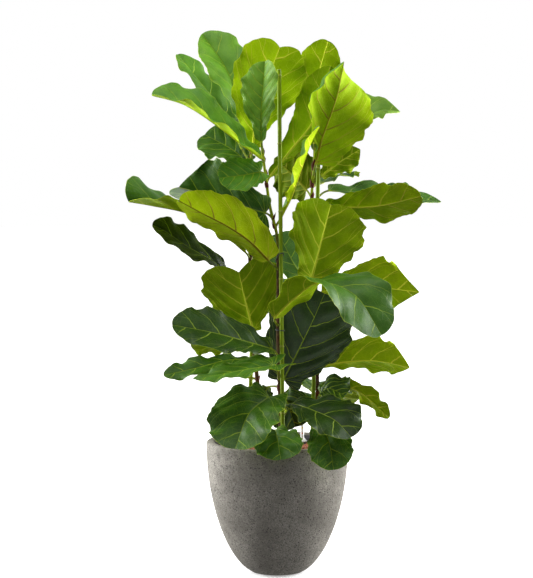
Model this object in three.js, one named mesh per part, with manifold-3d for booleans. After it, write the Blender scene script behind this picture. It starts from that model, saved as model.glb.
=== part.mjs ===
// Potted fiddle leaf fig: three staked stems in clay granules, in an egg-shaped concrete-look pot.
// Millimetres, +Z up, front towards -Y. The origin is the centre of the pot's foot, on the floor.
import * as THREE from 'three';
import { mergeVertices } from 'three/addons/utils/BufferGeometryUtils.js';
import Module from 'manifold-3d';

const wasm = await Module();
wasm.setup();

// ---- Driving dimensions -------------------------------------------------------------------------

const POT_HEIGHT = 335;
const POT_RADIUS = 182;
const POT_FOOT_RADIUS = 59;
const POT_BELLY = 0.6; // exponent of the egg profile: smaller is fuller near the foot
const POT_WALL = 22;
const POT_FLOOR = 24;
const RIM_ROUND = 5;
const ROUND_SEGMENTS = 28;
const CAVITY_LEVELS = [40, 70, 115, 175, 240, 308]; // heights of the facets' edges inside the pot

const LINER_TOP = 330;
const LINER_WALL = 3;
const LINER_GAP = 0.5; // between the liner and the pot
const GRANULES_TOP = 308;
const GRANULE_RELIEF = 2.2; // height of the bumps, of the size of one granule
const GRANULE_SWELL = 1.5; // height of the wide, shallow waves under them
const LEVEL_EDGE = 12; // width of the strip along the liner over which both die out
const GRANULE_ROWS = 8;
const CLEARANCE = 0.3; // between pieces that touch

const STEM_SIDES = 8;
const STEM_BURIED = 70;
const STEM_RINGS = 12;
const BUD = { length: 14, radius: 0.8 }; // pointed tip of a stem
const HOLE_MOUTH = 10; // how far the tools that cut the holes rise over the granules
const CANE_BURIED = 100;
const CANE_RADIUS = 5.2;
const CANE_RING = { lift: 0.9, half: 5, step: 170, first: 15 }; // node rings, the first under the top

const BLADE_THICKNESS = 1.1;
const PETIOLE_RADIUS = 2.6;
const PETIOLE_RINGS = [{ at: 0, size: 1.3 }, { at: 0.65, size: 0.96 }]; // places along it, and girth
const KEEL = 2.4; // depth of the midrib under the blade, at its base
const LARGE_BLADE = 140; // width from which a blade has the finer rows

const GAUGE_PLACE = [66, 120];
const GAUGE_RADIUS = 4.5;
const GAUGE_TOP = 362;
const GAUGE_ROUND = 2;
const GAUGE_FOOT = 284;
const FUNNEL_RADIUS = 12.5;
const FUNNEL_TOP = 328;
const FUNNEL_FOOT = 316;
const FUNNEL_LIP = 2;
const COLLAR_RADIUS = 11.5;
const COLLAR_FOOT = 300;
const GAUGE_SIDES = 12;

const TIE_WIRE = 1.3;
const TIE_SIDES = 5;

// Places on the plant are written as they stand in the front view: x across and z up on the plane
// of the pot's axis, then the depth y behind that plane. The eye is far in front of the plant, and
// a place with depth lies on the line of sight through its point on the plane.
const EYE = { x: -28, distance: 4800, z: 1020 };
const SPAN_STEPS = 24; // samples along a curve, from each of its points to the next

// ---- Stems and canes: [x, z, depth] from the granules up ----------------------------------------

const STEMS = {
  front: { radii: [6.2, 3.4], places: [[10, 240, -30], [7, 439, -30], [4, 528, -30], [2, 617, -30],
    [2, 756, -30], [-1, 858, -30], [-16, 911, -30], [-24, 985, -28], [-32, 1023, -26], [-42, 1105, -22]] },
  left: { radii: [6.4, 3.4], places: [[-42, 240, 40], [-49, 459, 40], [-54, 528, 40], [-62, 578, 42],
    [-70, 693, 42], [-70, 795, 42], [-70, 922, 42], [-66, 1094, 42]] },
  right: { radii: [6.2, 3.4], places: [[106, 240, 36], [104, 439, 32], [97, 566, 31], [88, 693, 30],
    [85, 820, 30], [86, 947, 32], [97, 1084, 34]] },
};

const CANES = {
  front: { foot: [14, 344, -48], top: [4, 1280, -48] },
  left: { foot: [-72, 344, 62], top: [-58, 858, 62] },
  right: { foot: [90, 344, 15], top: [104, 1046, 11] },
};

// Dry stipules, one on each stem behind each leaf.
const STIPULE = { length: 15, lift: 4, foot: 1.5, tail: 2 };

// ---- Leaves -------------------------------------------------------------------------------------
// root: height of the petiole on its stem. spine: midrib from the blade's base to its tip.
// up: side that the leaf's upper face looks to, at base and tip. fold, curl: slope of the left and
// right half, in degrees, at midrib and margin; tipFold and tipCurl, where a leaf turns on its way to
// the tip, and late, how near the tip it turns. cup: further fold at the base. full: outline of the
// left and right half, from 0, waisted, to 1, round. lobe: how far the margins run back at the base.
// notch: how far the left and right margin run ahead at the tip. wave, waves, phase: the waved margin.

const LEAF_DEFAULTS = { fold: [14, 14], curl: [6, 6], late: 1, cup: 25, full: [0.4, 0.4], lobe: 0.9,
  notch: [0.25, 0.25], wave: 7, waves: 3.2, phase: 0, tone: 'mature' };

const LEAVES = {
  front_01: { root: 1068, spine: [[-40, 1100, -50], [-40, 1189, -68], [-32, 1300, -76]], width: 112,
    up: [[-0.5, -0.87, 0.2], [-0.5, -0.87, 0.2]], fold: [30, 30], full: [0.2, 0.2], lobe: 0.3, wave: 4,
    notch: [0.2, 0.7], tone: 'young' },
  front_02: { root: 1049, spine: [[-42, 1056, -54], [-95, 1095, -74], [-159, 1143, -95],
    [-235, 1190, -115], [-318, 1215, -130]], width: 150, up: [[0.25, -0.65, 0.75], [0.25, -0.65, 0.75]],
    fold: [47, 8], curl: [44, 5], lobe: 0.3, cup: 0, tone: 'young' },
  front_03: { root: 985, spine: [[-20, 1008, -10], [36, 1079, -2], [88, 1145, 0], [114, 1214, -12],
    [134, 1288, -30]], width: 124, up: [[-0.2, 0.9, 0.3], [0.1, 0.9, 0.3]], fold: [64, 66],
    tipFold: [15, 20], late: 1.4, cup: -20, full: [-0.3, -0.2], lobe: 0.8, wave: 4, tone: 'young' },
  front_04: { root: 1012, spine: [[-44, 1021, -48], [-90, 1013, -78], [-148, 1006, -100]], width: 98,
    up: [[0.1, -0.9, 0.5], [0.1, -0.9, 0.5]], full: [0.9, 0.9], lobe: 1.2, wave: 3, tone: 'young' },
  front_05: { root: 774, spine: [[-26, 800, -68], [-72, 846, -96], [-128, 884, -118], [-190, 916, -138],
    [-250, 948, -155]], width: 144, up: [[0.3, 0.75, 0.6], [0.3, 0.75, 0.6]], fold: [38, 15],
    tipFold: [80, 25], curl: [42, 10], tipCurl: [85, 25], late: 1.5, full: [1, 0.9], wave: 4 },
  front_06: { root: 881, spine: [[14, 914, -27], [36, 958, -46], [58, 1020, -80], [84, 1090, -112],
    [106, 1136, -132]], width: 80, up: [[-0.85, 0.45, 0.3], [-0.85, 0.45, 0.3]], fold: [46, 0],
    curl: [46, 0], full: [0.4, 0.4], lobe: 0.2, tone: 'young' },
  front_07: { root: 440, spine: [[14, 455, 20], [28, 425, 62], [46, 370, 72]], width: 120,
    up: [[0, -0.85, 0.5], [0, -0.85, 0.5]], lobe: 0.4, tone: 'old' },
  front_08: { root: 632, spine: [[-6, 652, -80], [44, 700, -98], [110, 741, -130], [200, 706, -175],
    [266, 606, -200]], width: 182, up: [[-0.3, 0.75, 0.6], [0.35, -0.9, 0.4]], lobe: 0.5 },
  front_09: { root: 494, spine: [[-12, 527, -96], [-95, 515, -148], [-209, 493, -200]], width: 122,
    up: [[0, -0.15, 1], [0, -0.1, 1]], fold: [0, 42], tipFold: [0, -8], curl: [0, 42],
    tipCurl: [0, -8], late: 0.5, cup: 30, full: [0.9, 0.9], lobe: 2.8, wave: 5 },
  front_10: { root: 418, spine: [[-24, 446, -75], [-74, 402, -145], [-108, 314, -218]], width: 184,
    up: [[-0.3, -0.8, 0.5], [-0.3, -0.9, 0.3]], full: [1, 1], tone: 'old' },
  front_11: { root: 347, spine: [[-6, 362, -110], [2, 329, -170], [9, 286, -208]], width: 125,
    up: [[0, -0.7, 0.7], [0, -0.9, 0.4]] },
  front_12: { root: 411, spine: [[40, 430, -52], [88, 414, -106], [146, 388, -160], [190, 344, -195]],
    width: 150, up: [[0.1, -0.6, 0.8], [0.1, -0.6, 0.8]], lobe: 0.4, tone: 'old' },
  front_13: { root: 469, spine: [[17, 494, -14], [60, 580, -14], [94, 651, -14], [120, 712, -10]],
    width: 218, up: [[0, -1, 0.05], [0, -1, 0.05]], fold: [0, 0], curl: [0, 0], cup: 0, wave: 5,
    tone: 'old' },
  front_14: { root: 550, spine: [[-16, 571, -48], [-95, 594, -90], [-171, 614, -130], [-268, 632, -160]],
    width: 140, up: [[0.1, -0.7, 0.7], [0.1, -0.7, 0.7]], wave: 5, tone: 'old' },
  front_15: { root: 478, spine: [[-26, 472, 2], [-34, 445, 14], [-28, 414, 18]], width: 68,
    up: [[0, -0.9, 0.3], [0, -0.9, 0.3]], tone: 'old' },
  front_16: { root: 905, spine: [[-32, 918, -34], [-100, 938, -5], [-170, 962, 35], [-250, 983, 65]],
    width: 204, up: [[0.2, -0.93, -0.1], [0.2, -0.93, -0.1]], fold: [-25, 14], tipFold: [-60, 20],
    curl: [-25, 6], tipCurl: [-60, 20], late: 0.7, full: [0.7, 0.5], notch: [1.4, -0.5] },
  right_01: { root: 1012, spine: [[98, 1046, -8], [113, 1106, -22], [137, 1172, -40], [154, 1226, -52],
    [168, 1300, -60]], width: 216, up: [[0, 0.95, 0.3], [0, 0.95, 0.3]], fold: [5, 0],
    curl: [-5, -80], tipFold: [95, -30], tipCurl: [95, -150], late: 4, cup: 10, full: [0.8, -0.6],
    lobe: 0.4, notch: [-0.4, 0.2], wave: 5, tone: 'young' },
  right_02: { root: 1040, spine: [[93, 1098, 50], [90, 1176, 66], [100, 1252, 72], [117, 1316, 70],
    [128, 1352, 66]], width: 122, up: [[0, 0.95, 0.3], [0, 0.95, 0.3]], full: [0.5, 0.3], lobe: 0.3,
    notch: [0.1, 0.4], tone: 'young' },
  right_03: { root: 1028, spine: [[113, 1060, 62], [185, 1122, 95], [248, 1164, 115], [311, 1173, 125]],
    width: 184, up: [[-0.25, -0.65, 0.75], [-0.25, -0.65, 0.75]], fold: [20, 62], full: [0.8, 0.8],
    lobe: 0.4, notch: [-0.3, -0.3], tone: 'young' },
  right_04: { root: 990, spine: [[114, 1012, 28], [154, 1044, 20], [210, 1079, 8]], width: 85,
    up: [[0.2, 0.8, 0.5], [0.2, 0.8, 0.5]], full: [0.3, 0.3], notch: [-0.4, -0.4] },
  right_05: { root: 984, spine: [[114, 994, 86], [137, 1010, 165], [158, 1012, 255]], width: 135,
    up: [[-0.1, -0.6, 0.8], [-0.1, -0.6, 0.8]] },
  right_06: { root: 938, spine: [[134, 975, 65], [248, 966, 110], [416, 946, 150]], width: 122,
    up: [[0, -0.4, 0.9], [0, -0.4, 0.9]], notch: [-0.4, -0.4] },
  right_07: { root: 920, spine: [[126, 931, 24], [248, 934, -15], [365, 960, -60]], width: 116,
    up: [[0, 0.85, 0.5], [0, 0.85, 0.5]], full: [0.4, 0.4] },
  right_08: { root: 725, spine: [[88, 754, -26], [104, 815, -45], [120, 878, -62], [136, 939, -75]],
    width: 212, up: [[0, 0.95, 0.3], [0, 0.95, 0.3]], fold: [5, 40], curl: [5, 40], cup: 10,
    notch: [0.35, 0.35] },
  right_09: { root: 956, spine: [[72, 978, 60], [34, 1018, 90], [-8, 1056, 120]], width: 146,
    up: [[0, 0.9, 0.4], [0, 0.9, 0.4]], full: [0.9, 0.9], lobe: 0.6, notch: [-0.3, -0.3] },
  right_10: { root: 698, spine: [[78, 736, 75], [40, 792, 150], [4, 865, 235]], width: 125,
    up: [[0, -0.9, 0.4], [0, -0.9, 0.4]] },
  right_11: { root: 690, spine: [[116, 716, 30], [223, 730, 15], [362, 716, -10]], width: 165,
    up: [[0.1, 0.85, 0.5], [0.1, 0.85, 0.5]], full: [-0.1, -0.1], notch: [-0.8, -0.8] },
  right_12: { root: 494, spine: [[118, 528, 34], [172, 537, 28], [252, 540, 8], [338, 523, -18]],
    width: 150, up: [[0, 0.85, 0.5], [0, 0.85, 0.5]], fold: [52, 0], full: [0.4, 0.4],
    notch: [-0.4, -0.4] },
  right_13: { root: 438, spine: [[110, 455, -12], [132, 469, -26], [173, 451, -42]], width: 108,
    up: [[0, -0.55, 0.83], [0, -0.55, 0.83]], lobe: 0.4, tone: 'old' },
  right_14: { root: 465, spine: [[136, 487, 26], [211, 460, 10], [286, 394, -15]], width: 68,
    up: [[0.3, 0.7, 0.6], [0.3, 0.7, 0.6]] },
  right_15: { root: 375, spine: [[112, 379, -84], [134, 324, -158], [144, 260, -195]], width: 115,
    up: [[0, -0.9, 0.4], [0, -0.95, 0.2]], tone: 'old' },
  right_16: { root: 450, spine: [[84, 466, 66], [96, 482, 140], [108, 486, 225]], width: 115,
    up: [[0, -0.5, 0.87], [0, -0.5, 0.87]], tone: 'old' },
  right_17: { root: 610, spine: [[95, 640, 85], [125, 680, 185], [160, 688, 300]], width: 165,
    up: [[0, 0.3, 0.95], [0, 0.3, 0.95]] },
  right_18: { root: 400, spine: [[98, 425, 85], [130, 445, 180], [168, 420, 285]], width: 150,
    up: [[0, 0.2, 0.98], [0, 0.4, 0.9]], tone: 'old' },
  left_01: { root: 1069, spine: [[-78, 1114, 50], [-94, 1190, 78], [-130, 1282, 110],
    [-190, 1370, 145]], width: 152, up: [[0.5, -0.87, 0.2], [0.5, -0.87, 0.2]], fold: [32, 30],
    full: [0.1, 0.1], notch: [-0.2, 0.3], wave: 5, tone: 'young' },
  left_02: { root: 1054, spine: [[-62, 1086, 18], [-54, 1163, 10], [-26, 1252, 6], [6, 1336, 5]],
    width: 184, up: [[0.1, 1, 0.3], [0.1, 1, 0.3]], cup: 5, full: [-0.1, -0.1], notch: [0.8, 0.8],
    tone: 'young' },
  left_03: { root: 1041, spine: [[-92, 1084, 78], [-132, 1168, 98], [-182, 1232, 120],
    [-252, 1318, 145]], width: 125, up: [[0.85, -0.5, 0.2], [0.85, -0.5, 0.2]], tone: 'young' },
  left_04: { root: 1018, spine: [[-80, 1046, 70], [-115, 1078, 105], [-184, 1116, 150]], width: 136,
    up: [[0, -0.75, 0.65], [0, -0.75, 0.65]] },
  left_05: { root: 800, spine: [[-84, 820, 28], [-146, 872, 15], [-226, 916, 0], [-318, 936, -20],
    [-378, 946, -40]], width: 190, up: [[0, 0, 1], [0, 0, 1]], fold: [16, 0], tipFold: [16, 112],
    curl: [16, 0], tipCurl: [10, 112], late: 4, full: [-0.3, -0.3], notch: [0.2, 1], wave: 4 },
  left_06: { root: 713, spine: [[-106, 747, 48], [-168, 797, 32], [-228, 832, 8], [-284, 870, -15],
    [-318, 887, -25]], width: 136, up: [[0, -0.5, 0.87], [0, -0.5, 0.87]], fold: [12, -8],
    tipFold: [12, 18], full: [-0.1, -0.1], wave: 4, tone: 'old' },
  left_07: { root: 573, spine: [[-62, 619, 20], [-80, 688, 6], [-98, 767, -14]], width: 208,
    up: [[0, 0.95, 0.2], [0, 0.95, 0.2]], full: [-0.2, -0.2], notch: [0.9, 0.9] },
  left_08: { root: 561, spine: [[-82, 576, 35], [-146, 586, 10], [-217, 591, -15]], width: 110,
    up: [[0, 0.8, 0.6], [0, 0.8, 0.6]] },
  left_09: { root: 535, spine: [[-70, 545, 25], [-133, 540, 0], [-202, 523, -25], [-290, 503, -45]],
    width: 70, up: [[0, -0.3, 0.95], [0, -0.7, 0.7]], fold: [10, 10] },
  left_10: { root: 489, spine: [[-110, 505, 70], [-130, 514, 160], [-146, 503, 255]], width: 125,
    up: [[0, -0.3, 0.95], [0, -0.3, 0.95]], tone: 'old' },
  left_11: { root: 640, spine: [[-25, 665, 88], [-30, 715, 185], [-25, 745, 290]], width: 160,
    up: [[0, -0.4, 0.9], [0, -0.1, 1]] },
  left_12: { root: 850, spine: [[-80, 880, 100], [-112, 905, 200], [-140, 898, 305]], width: 160,
    up: [[0, 0.2, 0.98], [0, 0.3, 0.95]] },
};

// ---- Ties: black wire loops that hold a stem to its cane ----------------------------------------
// tilt: rise for each millimetre from the cane to the stem. slack: room left where the loop runs
// askew to the stem.

const TIES = {
  front_upper: { on: 'front', height: 806, tilt: -0.7, slack: 0 },
  front_lower: { on: 'front', height: 622, tilt: 0, slack: 0 },
  left: { on: 'left', height: 468, tilt: 0.35, slack: 0.4 },
};

// ---- Materials ----------------------------------------------------------------------------------

const finish = (color, roughness) => new THREE.MeshStandardMaterial({ color, roughness, metalness: 0 });

const FINISHES = {
  concrete: finish(0x8f8b86, 0.85),
  linerBlack: finish(0x121212, 0.6),
  clay: finish(0x8a4f3c, 0.95),
  gaugeWhite: finish(0xd8d8dc, 0.4),
  gaugeGrey: finish(0x2b2a30, 0.6),
  bark: finish(0x54402c, 0.9),
  cane: finish(0x5f7a14, 0.5),
  wire: finish(0x0d0f0d, 0.5),
  young: finish(0x6c8f22, 0.5),
  mature: finish(0x456a1a, 0.45),
  old: finish(0x2c4a18, 0.4),
};

// ---- Solids -------------------------------------------------------------------------------------

/** Turns a closed geometry into a solid for joining and cutting. */
function toSolid(geometry) {
  const bare = geometry.clone();
  bare.deleteAttribute('normal');
  bare.deleteAttribute('uv');
  const merged = mergeVertices(bare, 1e-4);
  return new wasm.Manifold(new wasm.Mesh({
    numProp: 3,
    vertProperties: new Float32Array(merged.attributes.position.array),
    triVerts: new Uint32Array(merged.index.array),
  }));
}

/** Turns a solid back into a geometry. */
function toGeometry(solid) {
  const mesh = solid.getMesh();
  const geometry = new THREE.BufferGeometry();
  geometry.setAttribute('position', new THREE.BufferAttribute(mesh.vertProperties, 3));
  geometry.setIndex(new THREE.BufferAttribute(mesh.triVerts, 1));
  geometry.computeVertexNormals();
  return geometry;
}

/** Geometry of points and the triangles between them. */
function meshOf(points, faces) {
  const coordinates = points.flatMap((point) => point.toArray());
  const geometry = new THREE.BufferGeometry();
  geometry.setAttribute('position', new THREE.Float32BufferAttribute(coordinates, 3));
  geometry.setIndex(faces);
  geometry.computeVertexNormals();
  return geometry;
}

/**
 * Skins a row of rings, each a list of the same number of points, and closes both ends with a fan.
 * The rings run anticlockwise as seen from ahead. In the second half of a ring the quads are split
 * along the other diagonal, so that a flat ring has the same triangles on both of its faces.
 */
function loft(rings, start, end) {
  const count = rings[0].length;
  const points = [...rings.flat(), start, end];
  const faces = [];
  rings.slice(1).forEach((ring, i) => {
    for (let k = 0; k < count; k += 1) {
      const next = (k + 1) % count;
      const [a, b, c, d] = [i * count + k, i * count + next, (i + 1) * count + next, (i + 1) * count + k];
      faces.push(...(k < count / 2 ? [a, b, c, a, c, d] : [a, b, d, b, c, d]));
    }
  });
  const last = (rings.length - 1) * count;
  for (let k = 0; k < count; k += 1) {
    const next = (k + 1) % count;
    faces.push(points.length - 2, next, k);
    faces.push(points.length - 1, last + k, last + next);
  }
  return meshOf(points, faces);
}

/** Ring of points around a centre, anticlockwise as seen from the tip of the axis. */
function ringAround(centre, across, up, radius, sides, startAngle = 0) {
  return Array.from({ length: sides }, (_, k) => {
    const angle = startAngle + (k * 2 * Math.PI) / sides;
    return centre.clone()
      .addScaledVector(across, radius * Math.cos(angle))
      .addScaledVector(up, radius * Math.sin(angle));
  });
}

/** Tapered round tube through centres, with a radius for each. */
function tube(centres, radii, sides) {
  const rings = centres.map((centre, i) => {
    const before = centres[Math.max(i - 1, 0)];
    const after = centres[Math.min(i + 1, centres.length - 1)];
    const along = after.clone().sub(before).normalize();
    const across = new THREE.Vector3(0, -1, 0).cross(along).normalize().negate();
    const up = along.clone().cross(across);
    return ringAround(centre, across, up, radii[i], sides, Math.PI / sides);
  });
  return loft(rings, centres[0], centres[centres.length - 1]);
}

// ---- Places and curves --------------------------------------------------------------------------

/** Moves a place [x, z, depth], as it stands in the front view, to where it is in space. */
function place([x, z, depth]) {
  const spread = 1 + depth / EYE.distance;
  return new THREE.Vector3(EYE.x + (x - EYE.x) * spread, depth, EYE.z + (z - EYE.z) * spread);
}

/** Smooth curve through points, sampled finely enough to be walked by length. */
function sampleCurve(points) {
  const curve = new THREE.CatmullRomCurve3(points, false, 'catmullrom', 0.5);
  return curve.getPoints(SPAN_STEPS * (points.length - 1));
}

/** Point and direction at a fraction of the length of a sampled curve. */
function walk(samples, fraction) {
  const lengths = [0];
  for (let i = 1; i < samples.length; i += 1) {
    lengths.push(lengths[i - 1] + samples[i].distanceTo(samples[i - 1]));
  }
  const wanted = fraction * lengths[lengths.length - 1];
  let i = 1;
  while (i < samples.length - 1 && lengths[i] < wanted) i += 1;
  const share = (wanted - lengths[i - 1]) / (lengths[i] - lengths[i - 1]);
  const point = samples[i - 1].clone().lerp(samples[i], share);
  const before = samples[Math.max(i - 2, 0)];
  const after = samples[Math.min(i + 1, samples.length - 1)];
  return { point, along: after.clone().sub(before).normalize() };
}

/** Point of a rising line through points at a height. */
function atHeight(samples, height) {
  const i = Math.max(1, samples.findIndex((sample) => sample.z >= height));
  const share = (height - samples[i - 1].z) / (samples[i].z - samples[i - 1].z);
  return samples[i - 1].clone().lerp(samples[i], share);
}

const mix = (from, to, share) => from + (to - from) * share;
const radians = THREE.MathUtils.degToRad;

// ---- Pot, liner and granules --------------------------------------------------------------------

/** Outer radius of the egg-shaped pot at a height. */
function potRadius(z) {
  const drop = 1 - z / POT_HEIGHT;
  return POT_FOOT_RADIUS + (POT_RADIUS - POT_FOOT_RADIUS) * (1 - drop * drop) ** POT_BELLY;
}

/** Inner radius of the pot at a height. */
const cavityRadius = (z) => potRadius(z) - POT_WALL;

/** Heights from one to another, in equal steps or drawn closer to the start. */
function heights(from, to, steps, crowding = 1) {
  return Array.from({ length: steps + 1 }, (_, i) => mix(from, to, (i / steps) ** crowding));
}

/** Heights between two ends at which the pot's cavity and what stands in it have their points. */
const cavityHeights = (from, to) => [from, ...CAVITY_LEVELS.filter((z) => z > from && z < to), to];

/** Turned solid from its half outline, given as radius and height from the foot round to the top. */
const turnedBody = (profile, segments = ROUND_SEGMENTS) =>
  new THREE.LatheGeometry(profile.map(([r, z]) => new THREE.Vector2(r, z)), segments).rotateX(Math.PI / 2);

/** Round of the rim between two directions, given as turns of a quarter circle. */
function rimRound(centreRadius, from, to) {
  return [0, 0.5, 1].map((share) => {
    const angle = mix(from, to, share) * (Math.PI / 2);
    const [out, rise] = [RIM_ROUND * Math.cos(angle), RIM_ROUND * Math.sin(angle)];
    return [centreRadius + out, POT_HEIGHT - RIM_ROUND + rise];
  });
}

/** Pot with its wall all the way up, a rounded rim and a flat foot. */
function makePot() {
  const wallTop = POT_HEIGHT - RIM_ROUND;
  const outside = heights(0, wallTop, 10, 1.9).slice(0, -1).map((z) => [potRadius(z), z]);
  const inside = cavityHeights(POT_FLOOR, wallTop).slice(0, -1).reverse().map((z) => [cavityRadius(z), z]);
  const rim = [...rimRound(POT_RADIUS - RIM_ROUND, 0, 1),
    ...rimRound(cavityRadius(wallTop) + RIM_ROUND, 1, 2)];
  return turnedBody([[0, 0], ...outside, ...rim, ...inside, [0, POT_FLOOR]]);
}

/** Thin black liner that lies against the inside of the pot. */
function makeLiner() {
  const floor = POT_FLOOR + CLEARANCE;
  const outer = cavityHeights(floor, LINER_TOP).map((z) => [cavityRadius(z) - LINER_GAP, z]);
  const inner = cavityHeights(floor + LINER_WALL, LINER_TOP).reverse()
    .map((z) => [cavityRadius(z) - LINER_GAP - LINER_WALL, z]);
  return turnedBody([[0, floor], ...outer, ...inner, [0, floor + LINER_WALL]]);
}

/** Height of the granules' surface: bumps of a few crossing waves, flat at the liner. */
function granuleHeight(x, y, edge) {
  const bumps = Math.sin(x / 4.1 + 2 * Math.sin(y / 13)) * Math.sin(y / 3.7 + 2 * Math.sin(x / 11));
  const swell = Math.sin(x / 37 + 1.3) * Math.sin(y / 41 + 0.6);
  return GRANULES_TOP + (GRANULE_RELIEF * bumps + GRANULE_SWELL * swell) * edge;
}

/** Clay granules that fill the liner, in rings up its side and across the uneven surface. */
function makeGranules() {
  const fill = (z) => cavityRadius(z) - LINER_GAP - LINER_WALL - CLEARANCE;
  const radius = fill(GRANULES_TOP);
  const foot = POT_FLOOR + LINER_WALL + 2 * CLEARANCE;
  const row = (r, z) => Array.from({ length: ROUND_SEGMENTS }, (_, k) => {
    const angle = (k / ROUND_SEGMENTS) * 2 * Math.PI;
    const [x, y] = [r * Math.cos(angle), r * Math.sin(angle)];
    return new THREE.Vector3(x, y, z ?? granuleHeight(x, y, Math.min(1, (radius - r) / LEVEL_EDGE)));
  });
  const sides = cavityHeights(foot, GRANULES_TOP).map((z) => row(fill(z), z));
  const surface = Array.from({ length: GRANULE_ROWS - 1 },
    (_, i) => row(radius * (1 - (i + 1) / GRANULE_ROWS)));
  const body = toSolid(loft([...sides, ...surface],
    new THREE.Vector3(0, 0, foot), new THREE.Vector3(0, 0, granuleHeight(0, 0, 1))));
  return toGeometry(drillHoles(body));
}

/** Cuts the plain holes that stems, canes and the water gauge stand in. */
function drillHoles(body) {
  const standing = [...Object.values(stems), ...Object.values(canes)].map(({ hole }) => hole);
  return [...standing, gaugeHole()].reduce((rest, hole) => rest.subtract(hole), body);
}

// ---- Water gauge --------------------------------------------------------------------------------

const atGauge = (geometry) => geometry.translate(GAUGE_PLACE[0], GAUGE_PLACE[1], 0);

/** White post, open to its foot in the granules, with the funnel that it stands in. */
function makeGauge() {
  return atGauge(turnedBody([[0, GAUGE_FOOT], [GAUGE_RADIUS, GAUGE_FOOT], [GAUGE_RADIUS, FUNNEL_FOOT],
    [FUNNEL_RADIUS, FUNNEL_FOOT], [FUNNEL_RADIUS, FUNNEL_FOOT + FUNNEL_LIP], [GAUGE_RADIUS, FUNNEL_TOP],
    [GAUGE_RADIUS, GAUGE_TOP - GAUGE_ROUND], [GAUGE_RADIUS - GAUGE_ROUND, GAUGE_TOP],
    [0, GAUGE_TOP]], GAUGE_SIDES));
}

/** Dark grey collar under the funnel, half sunk in the granules. */
function makeGaugeCollar() {
  const top = FUNNEL_FOOT - CLEARANCE;
  const bore = GAUGE_RADIUS + CLEARANCE;
  return atGauge(turnedBody([[bore, COLLAR_FOOT], [COLLAR_RADIUS, COLLAR_FOOT], [COLLAR_RADIUS, top],
    [bore, top], [bore, COLLAR_FOOT]], GAUGE_SIDES));
}

/** Room for the post and its collar in the granules. */
function gaugeHole() {
  const post = GAUGE_RADIUS + CLEARANCE;
  const collar = COLLAR_RADIUS + CLEARANCE;
  const [foot, shoulder] = [GAUGE_FOOT - CLEARANCE, COLLAR_FOOT - CLEARANCE];
  const mouth = GRANULES_TOP + HOLE_MOUTH;
  return toSolid(atGauge(turnedBody([[0, foot], [post, foot], [post, shoulder], [collar, shoulder],
    [collar, mouth], [0, mouth]], GAUGE_SIDES)));
}

// ---- Stems, canes and ties ----------------------------------------------------------------------

/** A stem's axis, its solid with stipules, the room that its leaves keep clear, and its hole. */
function growStem(name) {
  const { radii, places } = STEMS[name];
  const curve = sampleCurve(places.map(place));
  const [low, top] = [GRANULES_TOP - STEM_BURIED, curve[curve.length - 1]];
  const radiusAt = (z) => mix(radii[0], radii[1], (z - low) / (top.z - low));
  const axis = [...heights(low, top.z - BUD.length, STEM_RINGS - 1).map((z) => atHeight(curve, z)), top];
  const bark = axis.map((centre) => radiusAt(centre.z));
  bark[bark.length - 1] = BUD.radius;
  const wood = toSolid(tube(axis, bark, STEM_SIDES));
  const room = toSolid(tube(axis, bark.map((radius) => radius + CLEARANCE), STEM_SIDES));
  const grown = Object.keys(LEAVES).filter((leaf) => leaf.startsWith(name)).map(readLeaf);
  const scales = grown.map(({ root, spine }) => {
    const centre = atHeight(axis, root);
    const away = centre.clone().sub(place(spine[0])).setZ(0).normalize();
    return toSolid(makeStipule(centre, radiusAt(root), away));
  });
  const hole = plainHole(axis[0], atHeight(axis, GRANULES_TOP + HOLE_MOUTH), radii[0] + CLEARANCE);
  return { axis, radiusAt, solid: wasm.Manifold.union([wood, ...scales]), room, hole };
}

/** Pointed dry scale that clasps the stem and leans outward at its tip. */
function makeStipule(centre, radius, outward) {
  const across = new THREE.Vector3(-outward.y, outward.x, 0);
  const at = (out, side, rise) => centre.clone().addScaledVector(outward, out)
    .addScaledVector(across, side).add(new THREE.Vector3(0, 0, rise));
  const clasp = [radius * 0.2, radius * 0.8];
  const foot = [at(radius + STIPULE.foot, 0, 0), at(clasp[0], clasp[1], 0), at(0, 0, 0),
    at(clasp[0], -clasp[1], 0)];
  const tip = at(radius + STIPULE.lift, 0, STIPULE.length);
  return loft([foot], at(radius / 2, 0, -STIPULE.tail), tip);
}

/** Room for a stem or cane in the granules, down to just under its foot. */
function plainHole(foot, mouth, radius) {
  const start = foot.clone().sub(new THREE.Vector3(0, 0, CLEARANCE));
  return toSolid(tube([start, mouth], [radius, radius], STEM_SIDES));
}

/** A green bamboo cane with its node rings, and its hole. */
function cutCane(name) {
  const [low, top] = [place(CANES[name].foot), place(CANES[name].top)];
  const along = top.clone().sub(low).normalize();
  const foot = low.clone().addScaledVector(along, (GRANULES_TOP - CANE_BURIED - low.z) / along.z);
  const length = foot.distanceTo(top);
  const stops = [[0, 0]];
  for (let at = length - CANE_RING.first; at > CANE_BURIED + HOLE_MOUTH; at -= CANE_RING.step) {
    stops.splice(1, 0, [at - CANE_RING.half, 0], [at, CANE_RING.lift], [at + CANE_RING.half, 0]);
  }
  stops.push([length, 0]);
  const centres = stops.map(([at]) => foot.clone().addScaledVector(along, at));
  const radii = stops.map(([, lift]) => CANE_RADIUS + lift);
  const mouth = foot.clone().addScaledVector(along, CANE_BURIED + HOLE_MOUTH);
  return { foot, top, geometry: tube(centres, radii, STEM_SIDES),
    hole: plainHole(foot, mouth, CANE_RADIUS + CLEARANCE) };
}

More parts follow.
